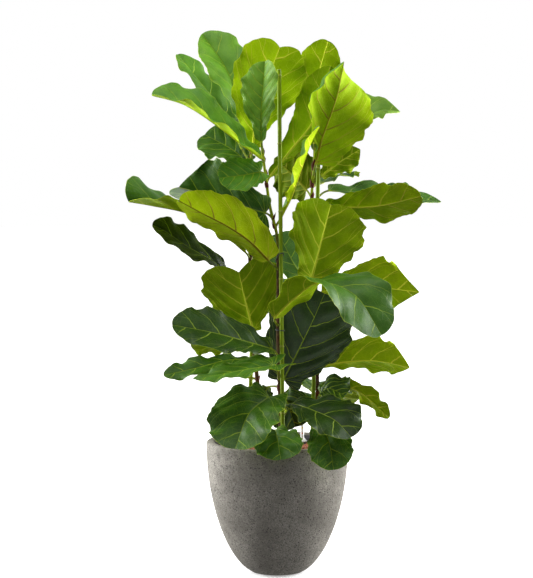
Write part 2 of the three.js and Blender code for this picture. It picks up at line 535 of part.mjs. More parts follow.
/** Wire loop around a stem and its cane, tilted along the cane. */
function makeTie({ on, height, tilt, slack }) {
  const { foot, top } = canes[on];
  const { axis, radiusAt } = stems[on];
  const post = foot.clone().lerp(top, (height - foot.z) / (top.z - foot.z));
  const level = atHeight(axis, height).sub(post).setZ(0);
  const wood = atHeight(axis, height + (tilt * level.length()) / 2);
  const between = wood.clone().sub(post).setZ(0);
  const gap = between.length();
  between.normalize();
  const across = new THREE.Vector3(-between.y, between.x, 0);
  const clear = CLEARANCE + TIE_WIRE + slack;
  const ends = [[0, CANE_RADIUS + clear, 1], [gap, radiusAt(height) + clear, -1]];
  const path = ends.flatMap(([centre, radius, turn]) => [90, 135, 180, 225, 270].map((angle) => {
    const [out, side] = [Math.cos(radians(angle)), Math.sin(radians(angle))];
    return post.clone().addScaledVector(between, centre + turn * radius * out)
      .addScaledVector(across, turn * radius * side)
      .add(new THREE.Vector3(0, 0, tilt * (centre + turn * radius * out - gap / 2)));
  }));
  return closedTube(path, TIE_WIRE, TIE_SIDES);
}

/** Round tube along a closed path that lies nearly level. */
function closedTube(path, radius, sides) {
  const count = path.length;
  const rings = path.map((centre, i) => {
    const along = path[(i + 1) % count].clone().sub(path[(i + count - 1) % count]).normalize();
    const outward = along.clone().cross(new THREE.Vector3(0, 0, 1)).normalize();
    return ringAround(centre, outward, outward.clone().cross(along).negate(), radius, sides);
  });
  const points = rings.flat();
  const faces = [];
  for (let i = 0; i < count; i += 1) {
    for (let k = 0; k < sides; k += 1) {
      const next = (k + 1) % sides;
      const [here, there] = [i * sides, ((i + 1) % count) * sides];
      faces.push(here + k, here + next, there + next, here + k, there + next, there + k);
    }
  }
  return meshOf(points, faces);
}

// ---- Leaves -------------------------------------------------------------------------------------

const LARGE_ROWS = [0.035, 0.12, 0.24, 0.37, 0.5, 0.63, 0.76, 0.87, 0.96]; // places along a blade
const SMALL_ROWS = [0.05, 0.17, 0.33, 0.5, 0.67, 0.83, 0.955];
const BLADE_COLUMNS = [-1, -0.5, 0, 0.5, 1]; // places across it, from margin to margin

/** Half width of a blade, as a share of its greatest, from base (0) to tip (1). */
function bladeProfile(t, full) {
  const waisted = Math.sin(Math.PI * t ** 1.67) ** 0.65;
  const round = Math.sin(Math.PI * t ** 1.15) ** 0.5;
  const ears = 0.16 * Math.exp(-(((t - 0.07) / 0.07) ** 2));
  return mix(waisted, round, full) + ears;
}

/** Reach outwards and rise of an arc whose slope runs from one angle to another. */
function arcReach(length, from, to) {
  const turn = to - from;
  if (Math.abs(turn) < 1e-3) return [length * Math.cos(from), length * Math.sin(from)];
  const radius = length / turn;
  return [radius * (Math.sin(to) - Math.sin(from)), radius * (Math.cos(from) - Math.cos(to))];
}

/** Directions of a leaf at a fraction of its length: along it, up from its face, and to its right. */
function leafFrame(leaf, midrib, t) {
  const { point, along } = walk(midrib, t);
  const up = new THREE.Vector3(...leaf.up[0]).lerp(new THREE.Vector3(...leaf.up[1]), t ** leaf.late);
  up.addScaledVector(along, -up.dot(along)).normalize();
  return { point, along, up, right: along.clone().cross(up) };
}

/** Upper and lower point of a blade at t along it and v across it (-1 left margin, 1 right). */
function bladePoint(leaf, frame, t, v) {
  const side = v < 0 ? 0 : 1;
  const sign = v < 0 ? -1 : 1;
  const reach = Math.abs(v);
  const beat = 2 * Math.PI * (leaf.waves * t + leaf.phase + side * 0.37);
  const half = (leaf.width / 2) * bladeProfile(t, leaf.full[side]) * (1 + 0.04 * Math.sin(1.7 * beat + 1));
  const turned = t ** leaf.late;
  const fold = radians(mix(leaf.fold[side], leaf.tipFold[side], turned) + leaf.cup * (1 - t) ** 3);
  const curl = radians(mix(leaf.curl[side], leaf.tipCurl[side], turned));
  const slope = mix(fold, curl, reach);
  const [out, rise] = arcReach(reach * half, fold, slope);
  const sweep = half * reach ** 1.6 * (leaf.notch[side] * t ** 4 - leaf.lobe * (1 - t) ** 4);
  const ripple = leaf.wave * Math.sin(beat) * reach * reach * Math.min(1, 4 * t, 5 * (1 - t));
  const facing = frame.up.clone().multiplyScalar(Math.cos(slope))
    .addScaledVector(frame.right, -sign * Math.sin(slope));
  const upper = frame.point.clone()
    .addScaledVector(frame.right, sign * out)
    .addScaledVector(frame.up, rise)
    .addScaledVector(frame.along, sweep)
    .addScaledVector(facing, ripple);
  const depth = BLADE_THICKNESS + (v === 0 ? KEEL * (1 - t) : 0);
  return { upper, lower: upper.clone().addScaledVector(facing, -depth) };
}

/** A row of the table with what it leaves out. */
function readLeaf(name) {
  const leaf = { ...LEAF_DEFAULTS, ...LEAVES[name] };
  return { tipFold: leaf.fold, tipCurl: leaf.curl, ...leaf };
}

/** One leaf: a round petiole that starts inside its stem and flattens into the waved blade. */
function makeLeaf(name) {
  const leaf = readLeaf(name);
  const stem = stems[name.split('_')[0]];
  const root = atHeight(stem.axis, leaf.root);
  const midrib = sampleCurve(leaf.spine.map(place));
  const petiole = sampleCurve([root, midrib[0], midrib[SPAN_STEPS]]).slice(0, SPAN_STEPS + 1);
  const sides = 2 * BLADE_COLUMNS.length;
  const stalk = PETIOLE_RINGS.map(({ at, size }) => {
    const { point, along } = walk(petiole, at);
    const up = new THREE.Vector3(...leaf.up[0]);
    up.addScaledVector(along, -up.dot(along)).normalize();
    const left = up.clone().cross(along);
    return ringAround(point, left, up, PETIOLE_RADIUS * size, sides, Math.PI / sides);
  });
  const blade = (leaf.width < LARGE_BLADE ? SMALL_ROWS : LARGE_ROWS).map((t) => {
    const frame = leafFrame(leaf, midrib, t);
    const row = BLADE_COLUMNS.map((v) => bladePoint(leaf, frame, t, v));
    return [...row.map((pair) => pair.upper), ...row.map((pair) => pair.lower).reverse()];
  });
  const geometry = loft([...stalk, ...blade], root, midrib[midrib.length - 1]);
  return toGeometry(toSolid(geometry).subtract(stem.room));
}

// ---- The plant in its pot -----------------------------------------------------------------------

const plant = new THREE.Group();

/** Adds a named piece with its finish. */
function add(name, geometry, material) {
  const mesh = new THREE.Mesh(geometry, material);
  mesh.name = name;
  plant.add(mesh);
}

const stems = Object.fromEntries(Object.keys(STEMS).map((name) => [name, growStem(name)]));
const canes = Object.fromEntries(Object.keys(CANES).map((name) => [name, cutCane(name)]));

add('pot', makePot(), FINISHES.concrete);
add('liner', makeLiner(), FINISHES.linerBlack);
add('granules', makeGranules(), FINISHES.clay);
add('gauge', makeGauge(), FINISHES.gaugeWhite);
add('gauge_collar', makeGaugeCollar(), FINISHES.gaugeGrey);
Object.entries(stems).forEach(([name, stem]) => add(`stem_${name}`, toGeometry(stem.solid), FINISHES.bark));
Object.entries(canes).forEach(([name, cane]) => add(`cane_${name}`, cane.geometry, FINISHES.cane));
Object.entries(TIES).forEach(([name, tie]) => add(`tie_${name}`, makeTie(tie), FINISHES.wire));
Object.keys(LEAVES).forEach((name) => {
  add(`leaf_${name}`, makeLeaf(name), FINISHES[readLeaf(name).tone]);
});

export default plant;
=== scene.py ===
"""Looks of the potted fiddle leaf fig: fine leaves, stems, canes, clay granules and pot.

Lengths are in millimetres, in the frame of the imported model, and become metres where a mesh is made.
Places on the plant are written as they stand in the front view: x across and z up on the plane of
the pot's axis, then the depth y behind that plane.
"""

import bpy
import numpy as np
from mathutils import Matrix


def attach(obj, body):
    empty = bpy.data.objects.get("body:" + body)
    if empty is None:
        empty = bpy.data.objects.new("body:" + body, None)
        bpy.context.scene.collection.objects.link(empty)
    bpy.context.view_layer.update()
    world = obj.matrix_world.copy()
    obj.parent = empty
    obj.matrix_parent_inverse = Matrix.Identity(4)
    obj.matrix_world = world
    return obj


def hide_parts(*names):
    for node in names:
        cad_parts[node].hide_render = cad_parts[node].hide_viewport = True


MM = 0.001
EYE = dict(x=-28, distance=4800, z=1020)
SPAN_STEPS = 24

# ---- Pot, liner, granules and gauge

POT = dict(height=335, radius=182, foot=59, belly=0.6, wall=22, floor=24, rim=5, foot_edge=3, sides=192)
LINER = dict(top=330, wall=3, gap=0.5, floor=24.3)
GRANULES = dict(top=308, relief=2.2, swell=1.5, edge=12, foot=27.6, gap=0.3, sides=96, under=2.5)
PEBBLES = dict(seed=7, spacing=6.6, small=2.8, large=5.0)
GAUGE = dict(place=(66, 120), radius=4.5, top=362, foot=284, funnel=12.5, funnel_top=328,
    funnel_foot=316, lip=2, round=2, sides=48)
COLLAR = dict(radius=11.5, foot=300, top=315.7, bore=4.8, edge=0.8)
MARKS = {"gauge_mark_high": 352, "gauge_mark_low": 338}
MARK = dict(radius=2.0, height=0.35, sides=20)

# ---- Stems, canes and ties

STEMS = {
    "front": dict(radii=(6.2, 3.4), places=[(10, 240, -30), (7, 439, -30), (4, 528, -30),
        (2, 617, -30), (2, 756, -30), (-1, 858, -30), (-16, 911, -30), (-24, 985, -28),
        (-32, 1023, -26), (-42, 1105, -22)]),
    "left": dict(radii=(6.4, 3.4), places=[(-42, 240, 40), (-49, 459, 40), (-54, 528, 40),
        (-62, 578, 42), (-70, 693, 42), (-70, 795, 42), (-70, 922, 42), (-66, 1094, 42)]),
    "right": dict(radii=(6.2, 3.4), places=[(106, 240, 36), (104, 439, 32), (97, 566, 31),
        (88, 693, 30), (85, 820, 30), (86, 947, 32), (97, 1084, 34)]),
}
STEM = dict(buried=70, rings=12, bud=14, bud_radius=0.8, sides=20, slim=0.97, swelling=0.14,
    node_height=3.2, first_scar=18, scar_step=24)
STIPULE = dict(length=19, width=6.5, lift=4.5, thickness=0.5, foot=3)
STIPULE_SET = [dict(turn=0, size=1), dict(turn=0.8, size=0.75), dict(turn=-0.9, size=0.6)]
CANES = {
    "front": dict(foot=(14, 344, -48), top=(4, 1280, -48)),
    "left": dict(foot=(-72, 344, 62), top=(-58, 858, 62)),
    "right": dict(foot=(90, 344, 15), top=(104, 1046, 11)),
}
CANE = dict(buried=100, radius=5.2, ring=0.9, ring_height=2.4, ring_step=170, first_ring=15,
    groove=0.45, groove_height=0.9, groove_above=3.2, sides=24)
TIES = {
    "front_upper": dict(on="front", height=806, tilt=-0.7, slack=0),
    "front_lower": dict(on="front", height=622, tilt=0, slack=0),
    "left": dict(on="left", height=468, tilt=0.35, slack=0.4),
}
TIE = dict(wire=1.3, clearance=0.3, bends=13, sides=10)
TAIL = dict(wire=0.75, radius=0.8, length=9, twist=1.6, rings=28, sides=8)

# ---- Leaves
# root: height of the petiole on its stem. spine: midrib from the blade's base to its tip.
# up: side that the leaf's upper face looks to, at base and tip. fold, curl: slope of the left and
# right half, in degrees, at midrib and margin; tip_fold and tip_curl, where a leaf turns on its way
# to the tip, and late, how near the tip it turns. cup: further fold at the base. full: outline of
# the left and right half, from 0, waisted, to 1, round. lobe: how far the margins run back at the
# base. notch: how far the left and right margin run ahead at the tip. wave: rise of the waved
# margin. One number stands for both halves, and one direction for base and tip.
# A leaf's looks beside others of its tone: light, how much lighter, which holds both the leaf's own
# tone and painted shade on leaves that stand in shade, such as front_13 and right_09; warm, how much
# yellower; ribs, 0 for yellow veins on the underside, 1 for brown ones; pairs, about how many side
# veins a side has.

LEAF_DEFAULTS = dict(fold=14, curl=6, late=1, cup=25, full=0.4, lobe=0.9, notch=0.25, wave=7,
    tone="mature", light=1, warm=0, ribs=0, pairs=4.5)

LEAVES = {
    "front_01": dict(root=1068, spine=[(-40, 1100, -50), (-40, 1189, -68), (-32, 1300, -76)], width=112,
        up=(-0.5, -0.87, 0.2), fold=30, full=0.2, lobe=0.3, notch=(0.2, 0.7), wave=4, tone="young",
        light=1.15, warm=0.35, pairs=7),
    "front_02": dict(root=1049, spine=[(-42, 1056, -54), (-95, 1095, -74), (-159, 1143, -95),
        (-235, 1190, -115), (-318, 1215, -130)], width=150, up=(0.25, -0.65, 0.75), fold=(47, 8),
        curl=(44, 5), cup=0, lobe=0.3, tone="young", warm=0.1),
    "front_03": dict(root=985, spine=[(-20, 1008, -10), (36, 1079, -2), (88, 1145, 0), (114, 1214, -12),
        (134, 1288, -30)], width=124, up=[(-0.2, 0.9, 0.3), (0.1, 0.9, 0.3)], fold=(64, 66),
        tip_fold=(15, 20), late=1.4, cup=-20, full=(-0.3, -0.2), lobe=0.8, wave=4, tone="young",
        light=0.68),
    "front_04": dict(root=1012, spine=[(-44, 1021, -48), (-90, 1013, -78), (-148, 1006, -100)], width=98,
        up=(0.1, -0.9, 0.5), full=0.9, lobe=1.2, wave=3, tone="young", light=0.95),
    "front_05": dict(root=774, spine=[(-26, 800, -68), (-72, 846, -96), (-128, 884, -118),
        (-190, 916, -138), (-250, 948, -155)], width=144, up=(0.3, 0.75, 0.6), fold=(38, 15),
        tip_fold=(80, 25), curl=(42, 10), tip_curl=(85, 25), late=1.5, full=(1, 0.9), wave=4, light=1.05,
        warm=0.2, ribs=0.85),
    "front_06": dict(root=881, spine=[(14, 914, -27), (36, 958, -46), (58, 1020, -80), (84, 1090, -112),
        (106, 1136, -132)], width=80, up=(-0.85, 0.45, 0.3), fold=(46, 0), curl=(46, 0), lobe=0.2,
        tone="young", light=1.3, warm=0.3),
    "front_07": dict(root=440, spine=[(14, 455, 20), (28, 425, 62), (46, 370, 72)], width=120,
        up=(0, -0.85, 0.5), lobe=0.4, tone="old"),
    "front_08": dict(root=632, spine=[(-6, 652, -80), (44, 700, -98), (110, 741, -130), (200, 706, -175),
        (266, 606, -200)], width=182, up=[(-0.3, 0.75, 0.6), (0.35, -0.9, 0.4)], lobe=0.5, light=0.95,
        pairs=5),
    "front_09": dict(root=494, spine=[(-12, 527, -96), (-95, 515, -148), (-209, 493, -200)], width=122,
        up=[(0, -0.15, 1), (0, -0.1, 1)], fold=(0, 42), tip_fold=(0, -8), curl=(0, 42), tip_curl=(0, -8),
        late=0.5, cup=30, full=0.9, lobe=2.8, wave=5),
    "front_10": dict(root=418, spine=[(-24, 446, -75), (-74, 402, -145), (-108, 314, -218)], width=184,
        up=[(-0.3, -0.8, 0.5), (-0.3, -0.9, 0.3)], full=1, tone="old", light=1.5, pairs=3.4),
    "front_11": dict(root=347, spine=[(-6, 362, -110), (2, 329, -170), (9, 286, -208)], width=125,
        up=[(0, -0.7, 0.7), (0, -0.9, 0.4)], light=1.1, pairs=3),
    "front_12": dict(root=411, spine=[(40, 430, -52), (88, 414, -106), (146, 388, -160),
        (190, 344, -195)], width=150, up=(0.1, -0.6, 0.8), lobe=0.4, tone="old", light=0.6, pairs=3.6),
    # front_13's low light is partly painted shade: the leaf stands in the shade of the leaves above it.
    "front_13": dict(root=469, spine=[(17, 494, -14), (60, 580, -14), (94, 651, -14), (120, 712, -10)],
        width=218, up=(0, -1, 0.05), fold=0, curl=0, cup=0, wave=5, tone="old", light=0.48, pairs=4),
    "front_14": dict(root=550, spine=[(-16, 571, -48), (-95, 594, -90), (-171, 614, -130),
        (-268, 632, -160)], width=140, up=(0.1, -0.7, 0.7), wave=5, tone="old", light=0.85),
    "front_15": dict(root=478, spine=[(-26, 472, 2), (-34, 445, 14), (-28, 414, 18)], width=68,
        up=(0, -0.9, 0.3), tone="old"),
    "front_16": dict(root=905, spine=[(-32, 918, -34), (-100, 938, -5), (-170, 962, 35), (-250, 983, 65)],
        width=204, up=(0.2, -0.93, -0.1), fold=(-25, 14), tip_fold=(-60, 20), curl=(-25, 6),
        tip_curl=(-60, 20), late=0.7, full=(0.7, 0.5), notch=(1.4, -0.5), light=0.95),
    "right_01": dict(root=1012, spine=[(98, 1046, -8), (113, 1106, -22), (137, 1172, -40),
        (154, 1226, -52), (168, 1300, -60)], width=216, up=(0, 0.95, 0.3), fold=(5, 0),
        tip_fold=(95, -30), curl=(-5, -80), tip_curl=(95, -150), late=4, cup=10, full=(0.8, -0.6),
        lobe=0.4, notch=(-0.4, 0.2), wave=5, tone="young", light=0.9, warm=0.1, ribs=0.7, pairs=5.5),
    "right_02": dict(root=1040, spine=[(93, 1098, 50), (90, 1176, 66), (100, 1252, 72), (117, 1316, 70),
        (128, 1352, 66)], width=122, up=(0, 0.95, 0.3), full=(0.5, 0.3), lobe=0.3, notch=(0.1, 0.4),
        tone="young", light=0.95, warm=0.1),
    "right_03": dict(root=1028, spine=[(113, 1060, 62), (185, 1122, 95), (248, 1164, 115),
        (311, 1173, 125)], width=184, up=(-0.25, -0.65, 0.75), fold=(20, 62), full=0.8, lobe=0.4,
        notch=-0.3, tone="young", light=0.95, warm=0.5),
    "right_04": dict(root=990, spine=[(114, 1012, 28), (154, 1044, 20), (210, 1079, 8)], width=85,
        up=(0.2, 0.8, 0.5), full=0.3, notch=-0.4, light=0.9),
    "right_05": dict(root=984, spine=[(114, 994, 86), (137, 1010, 165), (158, 1012, 255)], width=135,
        up=(-0.1, -0.6, 0.8)),
    "right_06": dict(root=938, spine=[(134, 975, 65), (248, 966, 110), (416, 946, 150)], width=122,
        up=(0, -0.4, 0.9), notch=-0.4),
    "right_07": dict(root=920, spine=[(126, 931, 24), (248, 934, -15), (365, 960, -60)], width=116,
        up=(0, 0.85, 0.5), light=0.98, warm=0.1, ribs=0.35),
    "right_08": dict(root=725, spine=[(88, 754, -26), (104, 815, -45), (120, 878, -62), (136, 939, -75)],
        width=212, up=(0, 0.95, 0.3), fold=(5, 40), curl=(5, 40), cup=10, notch=0.35, pairs=3.6),
    # right_09's low light is partly painted shade on its shaded underside.
    "right_09": dict(root=956, spine=[(72, 978, 60), (34, 1018, 90), (-8, 1056, 120)], width=146,
        up=(0, 0.9, 0.4), full=0.9, lobe=0.6, notch=-0.3, light=0.32),
    "right_10": dict(root=698, spine=[(78, 736, 75), (40, 792, 150), (4, 865, 235)], width=125,
        up=(0, -0.9, 0.4)),
    "right_11": dict(root=690, spine=[(116, 716, 30), (223, 730, 15), (362, 716, -10)], width=165,
        up=(0.1, 0.85, 0.5), full=-0.1, notch=-0.8, light=1.45, warm=0.15),
    "right_12": dict(root=494, spine=[(118, 528, 34), (172, 537, 28), (252, 540, 8), (338, 523, -18)],
        width=150, up=(0, 0.85, 0.5), fold=(52, 0), notch=-0.4, light=1.5, warm=0.1),
    "right_13": dict(root=438, spine=[(110, 455, -12), (132, 469, -26), (173, 451, -42)], width=108,
        up=(0, -0.55, 0.83), lobe=0.4, tone="old"),
    "right_14": dict(root=465, spine=[(136, 487, 26), (211, 460, 10), (286, 394, -15)], width=68,
        up=(0.3, 0.7, 0.6), light=0.9),
    "right_15": dict(root=375, spine=[(112, 379, -84), (134, 324, -158), (144, 260, -195)], width=115,
        up=[(0, -0.9, 0.4), (0, -0.95, 0.2)], tone="old", light=1.9, pairs=3),
    "right_16": dict(root=450, spine=[(84, 466, 66), (96, 482, 140), (108, 486, 225)], width=115,
        up=(0, -0.5, 0.87), tone="old"),
    "right_17": dict(root=610, spine=[(95, 640, 85), (125, 680, 185), (160, 688, 300)], width=165,
        up=(0, 0.3, 0.95), light=0.9),
    "right_18": dict(root=400, spine=[(98, 425, 85), (130, 445, 180), (168, 420, 285)], width=150,
        up=[(0, 0.2, 0.98), (0, 0.4, 0.9)], tone="old"),
    "left_01": dict(root=1069, spine=[(-78, 1114, 50), (-94, 1190, 78), (-130, 1282, 110),
        (-190, 1370, 145)], width=152, up=(0.5, -0.87, 0.2), fold=(32, 30), full=0.1, notch=(-0.2, 0.3),
        wave=5, tone="young", warm=0.25),
    "left_02": dict(root=1054, spine=[(-62, 1086, 18), (-54, 1163, 10), (-26, 1252, 6), (6, 1336, 5)],
        width=184, up=(0.1, 1, 0.3), cup=5, full=-0.1, notch=0.8, tone="young", light=0.95, warm=0.1),
    "left_03": dict(root=1041, spine=[(-92, 1084, 78), (-132, 1168, 98), (-182, 1232, 120),
        (-252, 1318, 145)], width=125, up=(0.85, -0.5, 0.2), tone="young", light=0.75, warm=0.1),
    "left_04": dict(root=1018, spine=[(-80, 1046, 70), (-115, 1078, 105), (-184, 1116, 150)], width=136,
        up=(0, -0.75, 0.65), light=0.95),
    "left_05": dict(root=800, spine=[(-84, 820, 28), (-146, 872, 15), (-226, 916, 0), (-318, 936, -20),
        (-378, 946, -40)], width=190, up=(0, 0, 1), fold=(16, 0), tip_fold=(16, 112), curl=(16, 0),
        tip_curl=(10, 112), late=4, full=-0.3, notch=(0.2, 1), wave=4, light=1.1, ribs=0.4),
    "left_06": dict(root=713, spine=[(-106, 747, 48), (-168, 797, 32), (-228, 832, 8), (-284, 870, -15),
        (-318, 887, -25)], width=136, up=(0, -0.5, 0.87), fold=(12, -8), tip_fold=(12, 18), full=-0.1,
        wave=4, tone="old", light=0.38),
    "left_07": dict(root=573, spine=[(-62, 619, 20), (-80, 688, 6), (-98, 767, -14)], width=208,
        up=(0, 0.95, 0.2), full=-0.2, notch=0.9, light=0.82, pairs=3.6),
    "left_08": dict(root=561, spine=[(-82, 576, 35), (-146, 586, 10), (-217, 591, -15)], width=110,
        up=(0, 0.8, 0.6)),
    "left_09": dict(root=535, spine=[(-70, 545, 25), (-133, 540, 0), (-202, 523, -25), (-290, 503, -45)],
        width=70, up=[(0, -0.3, 0.95), (0, -0.7, 0.7)], fold=10),
    "left_10": dict(root=489, spine=[(-110, 505, 70), (-130, 514, 160), (-146, 503, 255)], width=125,
        up=(0, -0.3, 0.95), tone="old"),
    "left_11": dict(root=640, spine=[(-25, 665, 88), (-30, 715, 185), (-25, 745, 290)], width=160,
        up=[(0, -0.4, 0.9), (0, -0.1, 1)]),
    "left_12": dict(root=850, spine=[(-80, 880, 100), (-112, 905, 200), (-140, 898, 305)], width=160,
        up=[(0, 0.2, 0.98), (0, 0.3, 0.95)]),
}

# Petiole: its girth at the stem and at the blade, as shares of the radius, and the shares of its
# length by which it has slimmed and where its last ring stands. Veins: crowding, power of the way
# along that counts the pairs, 1 if they stand evenly and less if they crowd at the base; slant, their
# distance square to them as a share of that along the midrib; fan, angle between those at the base;
# offset of the right ones; quilt, rise of the bulges between them on a blade 160 wide; fork_from, how
# far out a fork leaves its vein, and fork_gap, how far from it the fork ends. Offset and gap are
# shares of the space between two veins. Edge: waves and ripples to a blade's length, how far the
# ripples reach out, as a share of the half width, and how far they rise.

PETIOLE = dict(radius=2.6, girth=(1.3, 0.96), rings=12, end=0.9, slims_by=0.65)
BLADE = dict(thickness=0.8, midrib=2.5, midrib_tip=0.4, row_step=2.8, column_step=3.4)
VEINS = dict(crowding=0.9, slant=0.72, fan=0.5, offset=0.4, quilt=2.3, fork_from=0.38, fork_gap=0.42)
EDGE = dict(waves=3.2, ripples=8.5, depth=0.016, rise=2.6)

# Light of the room in front, behind, and where the room itself is seen, and how much a direction's
# rise counts beside its way back; each lamp's place in metres, size and power; the floor's own shade,
# its painted glow near the pot, weak enough to leave a painted shade round it, and far from it, and
# the distances between which the glow grows.

ROOM = dict(front=0.3, back=0.5, seen=1.0, from_above=0.7)
LAMPS = {
    "left_lamp": ((-2.3, 0.7, 1.2), 1.8, 165),
    "right_lamp": ((2.3, 0.7, 1.2), 1.8, 165),
    "top_lamp": ((-0.3, -0.6, 3.0), 1.6, 46),
}
LAMP_TARGET = (0, 0, 0.7)
FLOOR = dict(shade=0.8, near=0.3, far=1.1, start=0.12, end=0.75, half_side=30)
CAMERA = dict(place=(-0.0277, -4.8, 1.02), tilt=3.53, lens=117.6, sensor=36)

# ---- Curves and places


def place(spot):
    """Moves places, as they stand in the front view, to where they are in space.

    A place with depth lies on the line of sight through its point on the plane of the pot's axis,
    so its distance from the eye's own height and side grows with the depth.
    """
    x, z, depth = np.moveaxis(np.asarray(spot, float), -1, 0)
    spread = 1 + depth / EYE["distance"]
    return np.stack([EYE["x"] + (x - EYE["x"]) * spread, depth, EYE["z"] + (z - EYE["z"]) * spread], -1)


def sample_curve(points, steps=SPAN_STEPS):
    """Catmull-Rom curve through points, with the same number of samples from each to the next.

    A span is the cubic whose ends are two neighbouring points and whose end slopes are half of the
    step from the point before to the point after. The ends are carried on straight.
    """
    points = np.asarray(points, float)
    spans = len(points) - 1
    ends = np.concatenate([[2 * points[0] - points[1]], points, [2 * points[-1] - points[-2]]])
    at = np.linspace(0, spans, spans * steps + 1)
    i = np.minimum(at.astype(int), spans - 1)
    s = (at - i)[:, None]
    before, here, there, after = ends[i], ends[i + 1], ends[i + 2], ends[i + 3]
    leave, arrive = (there - before) / 2, (after - here) / 2
    return (here * (2 * s**3 - 3 * s**2 + 1) + leave * (s**3 - 2 * s**2 + s)
        + there * (3 * s**2 - 2 * s**3) + arrive * (s**3 - s**2))


def unit(vectors):
    """The same directions with a length of one."""
    return vectors / np.maximum(np.linalg.norm(vectors, axis=-1, keepdims=True), 1e-9)


def path_length(samples):
    """Distance of each sample from the first, along the path."""
    return np.concatenate([[0], np.cumsum(np.linalg.norm(np.diff(samples, axis=0), axis=1))])


def blend_rows(at, stops, rows):
    """Rows interpolated between stops, one column at a time."""
    return np.stack([np.interp(at, stops, rows[:, i]) for i in range(rows.shape[1])], -1)


def walk(samples, share):
    """Points and directions at shares of the length of a sampled curve."""
    along_path = path_length(samples)
    wanted = np.asarray(share) * along_path[-1]
    slope = unit(np.gradient(samples, along_path, axis=0))
    return blend_rows(wanted, along_path, samples), unit(blend_rows(wanted, along_path, slope))


def at_height(samples, z):
    """Points of a rising line at given heights."""
    return blend_rows(np.atleast_1d(z), samples[:, 2], samples)


def mix(low, high, share):
    """Value between two others."""
    return low + (high - low) * share


def smooth_step(low, high, value):
    """0 below low and 1 above high, joined by a cubic with level ends."""
    s = np.clip((value - low) / (high - low), 0, 1)
    return s * s * (3 - 2 * s)


def bell(gap, width):
    """1 where the gap is 0, falling on both sides as a bell of the given width."""
    return np.exp(-((gap / width) ** 2))


def full_turn(sides):
    """Angles of evenly spaced points round a ring."""
    return np.arange(sides) * 2 * np.pi / sides


# ---- Meshes


def add_object(name, data):
    """Object of the given mesh, lamp or camera in the scene."""
    thing = bpy.data.objects.new(name, data)
    bpy.context.scene.collection.objects.link(thing)
    return thing


def make_piece(name, points, quads, triangles, materials, slot, stands_for=(), smooth_angle=50):
    """Mesh object from points in millimetres and faces, which rides on the plant's one body."""
    mesh = bpy.data.meshes.new(name)
    corners = np.concatenate([np.ravel(quads), np.ravel(triangles)]).astype(np.int32)
    sizes = np.repeat([4, 3], [len(quads), len(triangles)])
    mesh.vertices.add(len(points))
    mesh.vertices.foreach_set("co", (np.asarray(points) * MM).astype(np.float32).ravel())
    mesh.loops.add(len(corners))
    mesh.loops.foreach_set("vertex_index", corners)
    mesh.polygons.add(len(sizes))
    mesh.polygons.foreach_set("loop_start", (np.cumsum(sizes) - sizes).astype(np.int32))
    mesh.update(calc_edges=True)
    mesh.shade_smooth()
    mesh.set_sharp_from_angle(angle=np.radians(smooth_angle))
    for material in materials:
        mesh.materials.append(material)
    piece = add_object(name, mesh)
    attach(piece, "root")
    if stands_for:
        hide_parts(*stands_for)
    return piece


def skin(rings, columns):
    """Quads between neighbouring rings of points, each ring joined to its own start."""
    i, k = np.meshgrid(np.arange(rings - 1), np.arange(columns), indexing="ij")
    n = (k + 1) % columns
    quads = np.stack([i * columns + k, i * columns + n, (i + 1) * columns + n, (i + 1) * columns + k], -1)
    return quads.reshape(-1, 4)


def fan(hub, ring, turned=False):
    """Triangles that close a ring with a hub point."""
    after = np.roll(ring, -1)
    pair = (ring, after) if turned else (after, ring)
    return np.stack([np.full(len(ring), hub), *pair], -1)


def closed_skin(rings, start, end):
    """Points, quads and triangles of a skin over rings, closed at both ends with fans."""
    count, columns = rings.shape[:2]
    points = np.concatenate([rings.reshape(-1, 3), [start], [end]])
    hubs = count * columns
    last = np.arange(hubs - columns, hubs)
    triangles = np.concatenate([fan(hubs, np.arange(columns)), fan(hubs + 1, last, turned=True)])
    return points, skin(count, columns), triangles


def looped_skin(rings):
    """Points and quads of a skin over rings whose last is joined to the first; no triangles."""
    count, columns = rings.shape[:2]
    points = rings.reshape(-1, 3)
    return points, skin(count + 1, columns) % len(points), np.empty((0, 3), int)


def join_shapes(shapes):
    """Joins points, quads and triangles of several shapes into one set."""
    points, quads, triangles, first = [], [], [], 0
    for shape_points, shape_quads, shape_triangles in shapes:
        points.append(shape_points)
        quads.append(shape_quads + first)
        triangles.append(shape_triangles + first)
        first += len(shape_points)
    return np.concatenate(points), np.concatenate(quads), np.concatenate(triangles)


def rings_round(centres, radii, across, up, angle):
    """Rings of points: each centre plus its radius times across by the angle's cosine and up by its
    sine."""
    turned = across[:, None] * np.cos(angle)[:, None] + up[:, None] * np.sin(angle)[:, None]
    return centres[:, None] + np.reshape(radii, (-1, 1, 1)) * turned


def tube_rings(centres, radii, sides):
    """Rings of points round a path, square to it, with a radius for each place of the path."""
    along = unit(np.gradient(centres, axis=0))
    across = unit(np.cross(along, [0, -1, 0]))
    return rings_round(centres, radii, across, np.cross(along, across), full_turn(sides))


def turned_rings(profile, sides, centre=(0, 0)):
    """Rings of a turned body: each profile point (radius, height) carried round the upright axis."""
    radius, z = np.asarray(profile, float).T[..., None]
    angle = full_turn(sides)
    x, y = centre[0] + radius * np.cos(angle), centre[1] + radius * np.sin(angle)
    return np.stack([x, y, np.broadcast_to(z, x.shape)], -1)


def turned_piece(name, profile, sides, material, slot, stands_for, centre=(0, 0)):
    """Turned piece whose profile runs from the axis under it, up the outside and back to the axis."""
    rings = turned_rings(profile[1:-1], sides, centre)
    shape = closed_skin(rings, [*centre, profile[0][1]], [*centre, profile[-1][1]])
    return make_piece(name, *shape, [material], slot, stands_for)


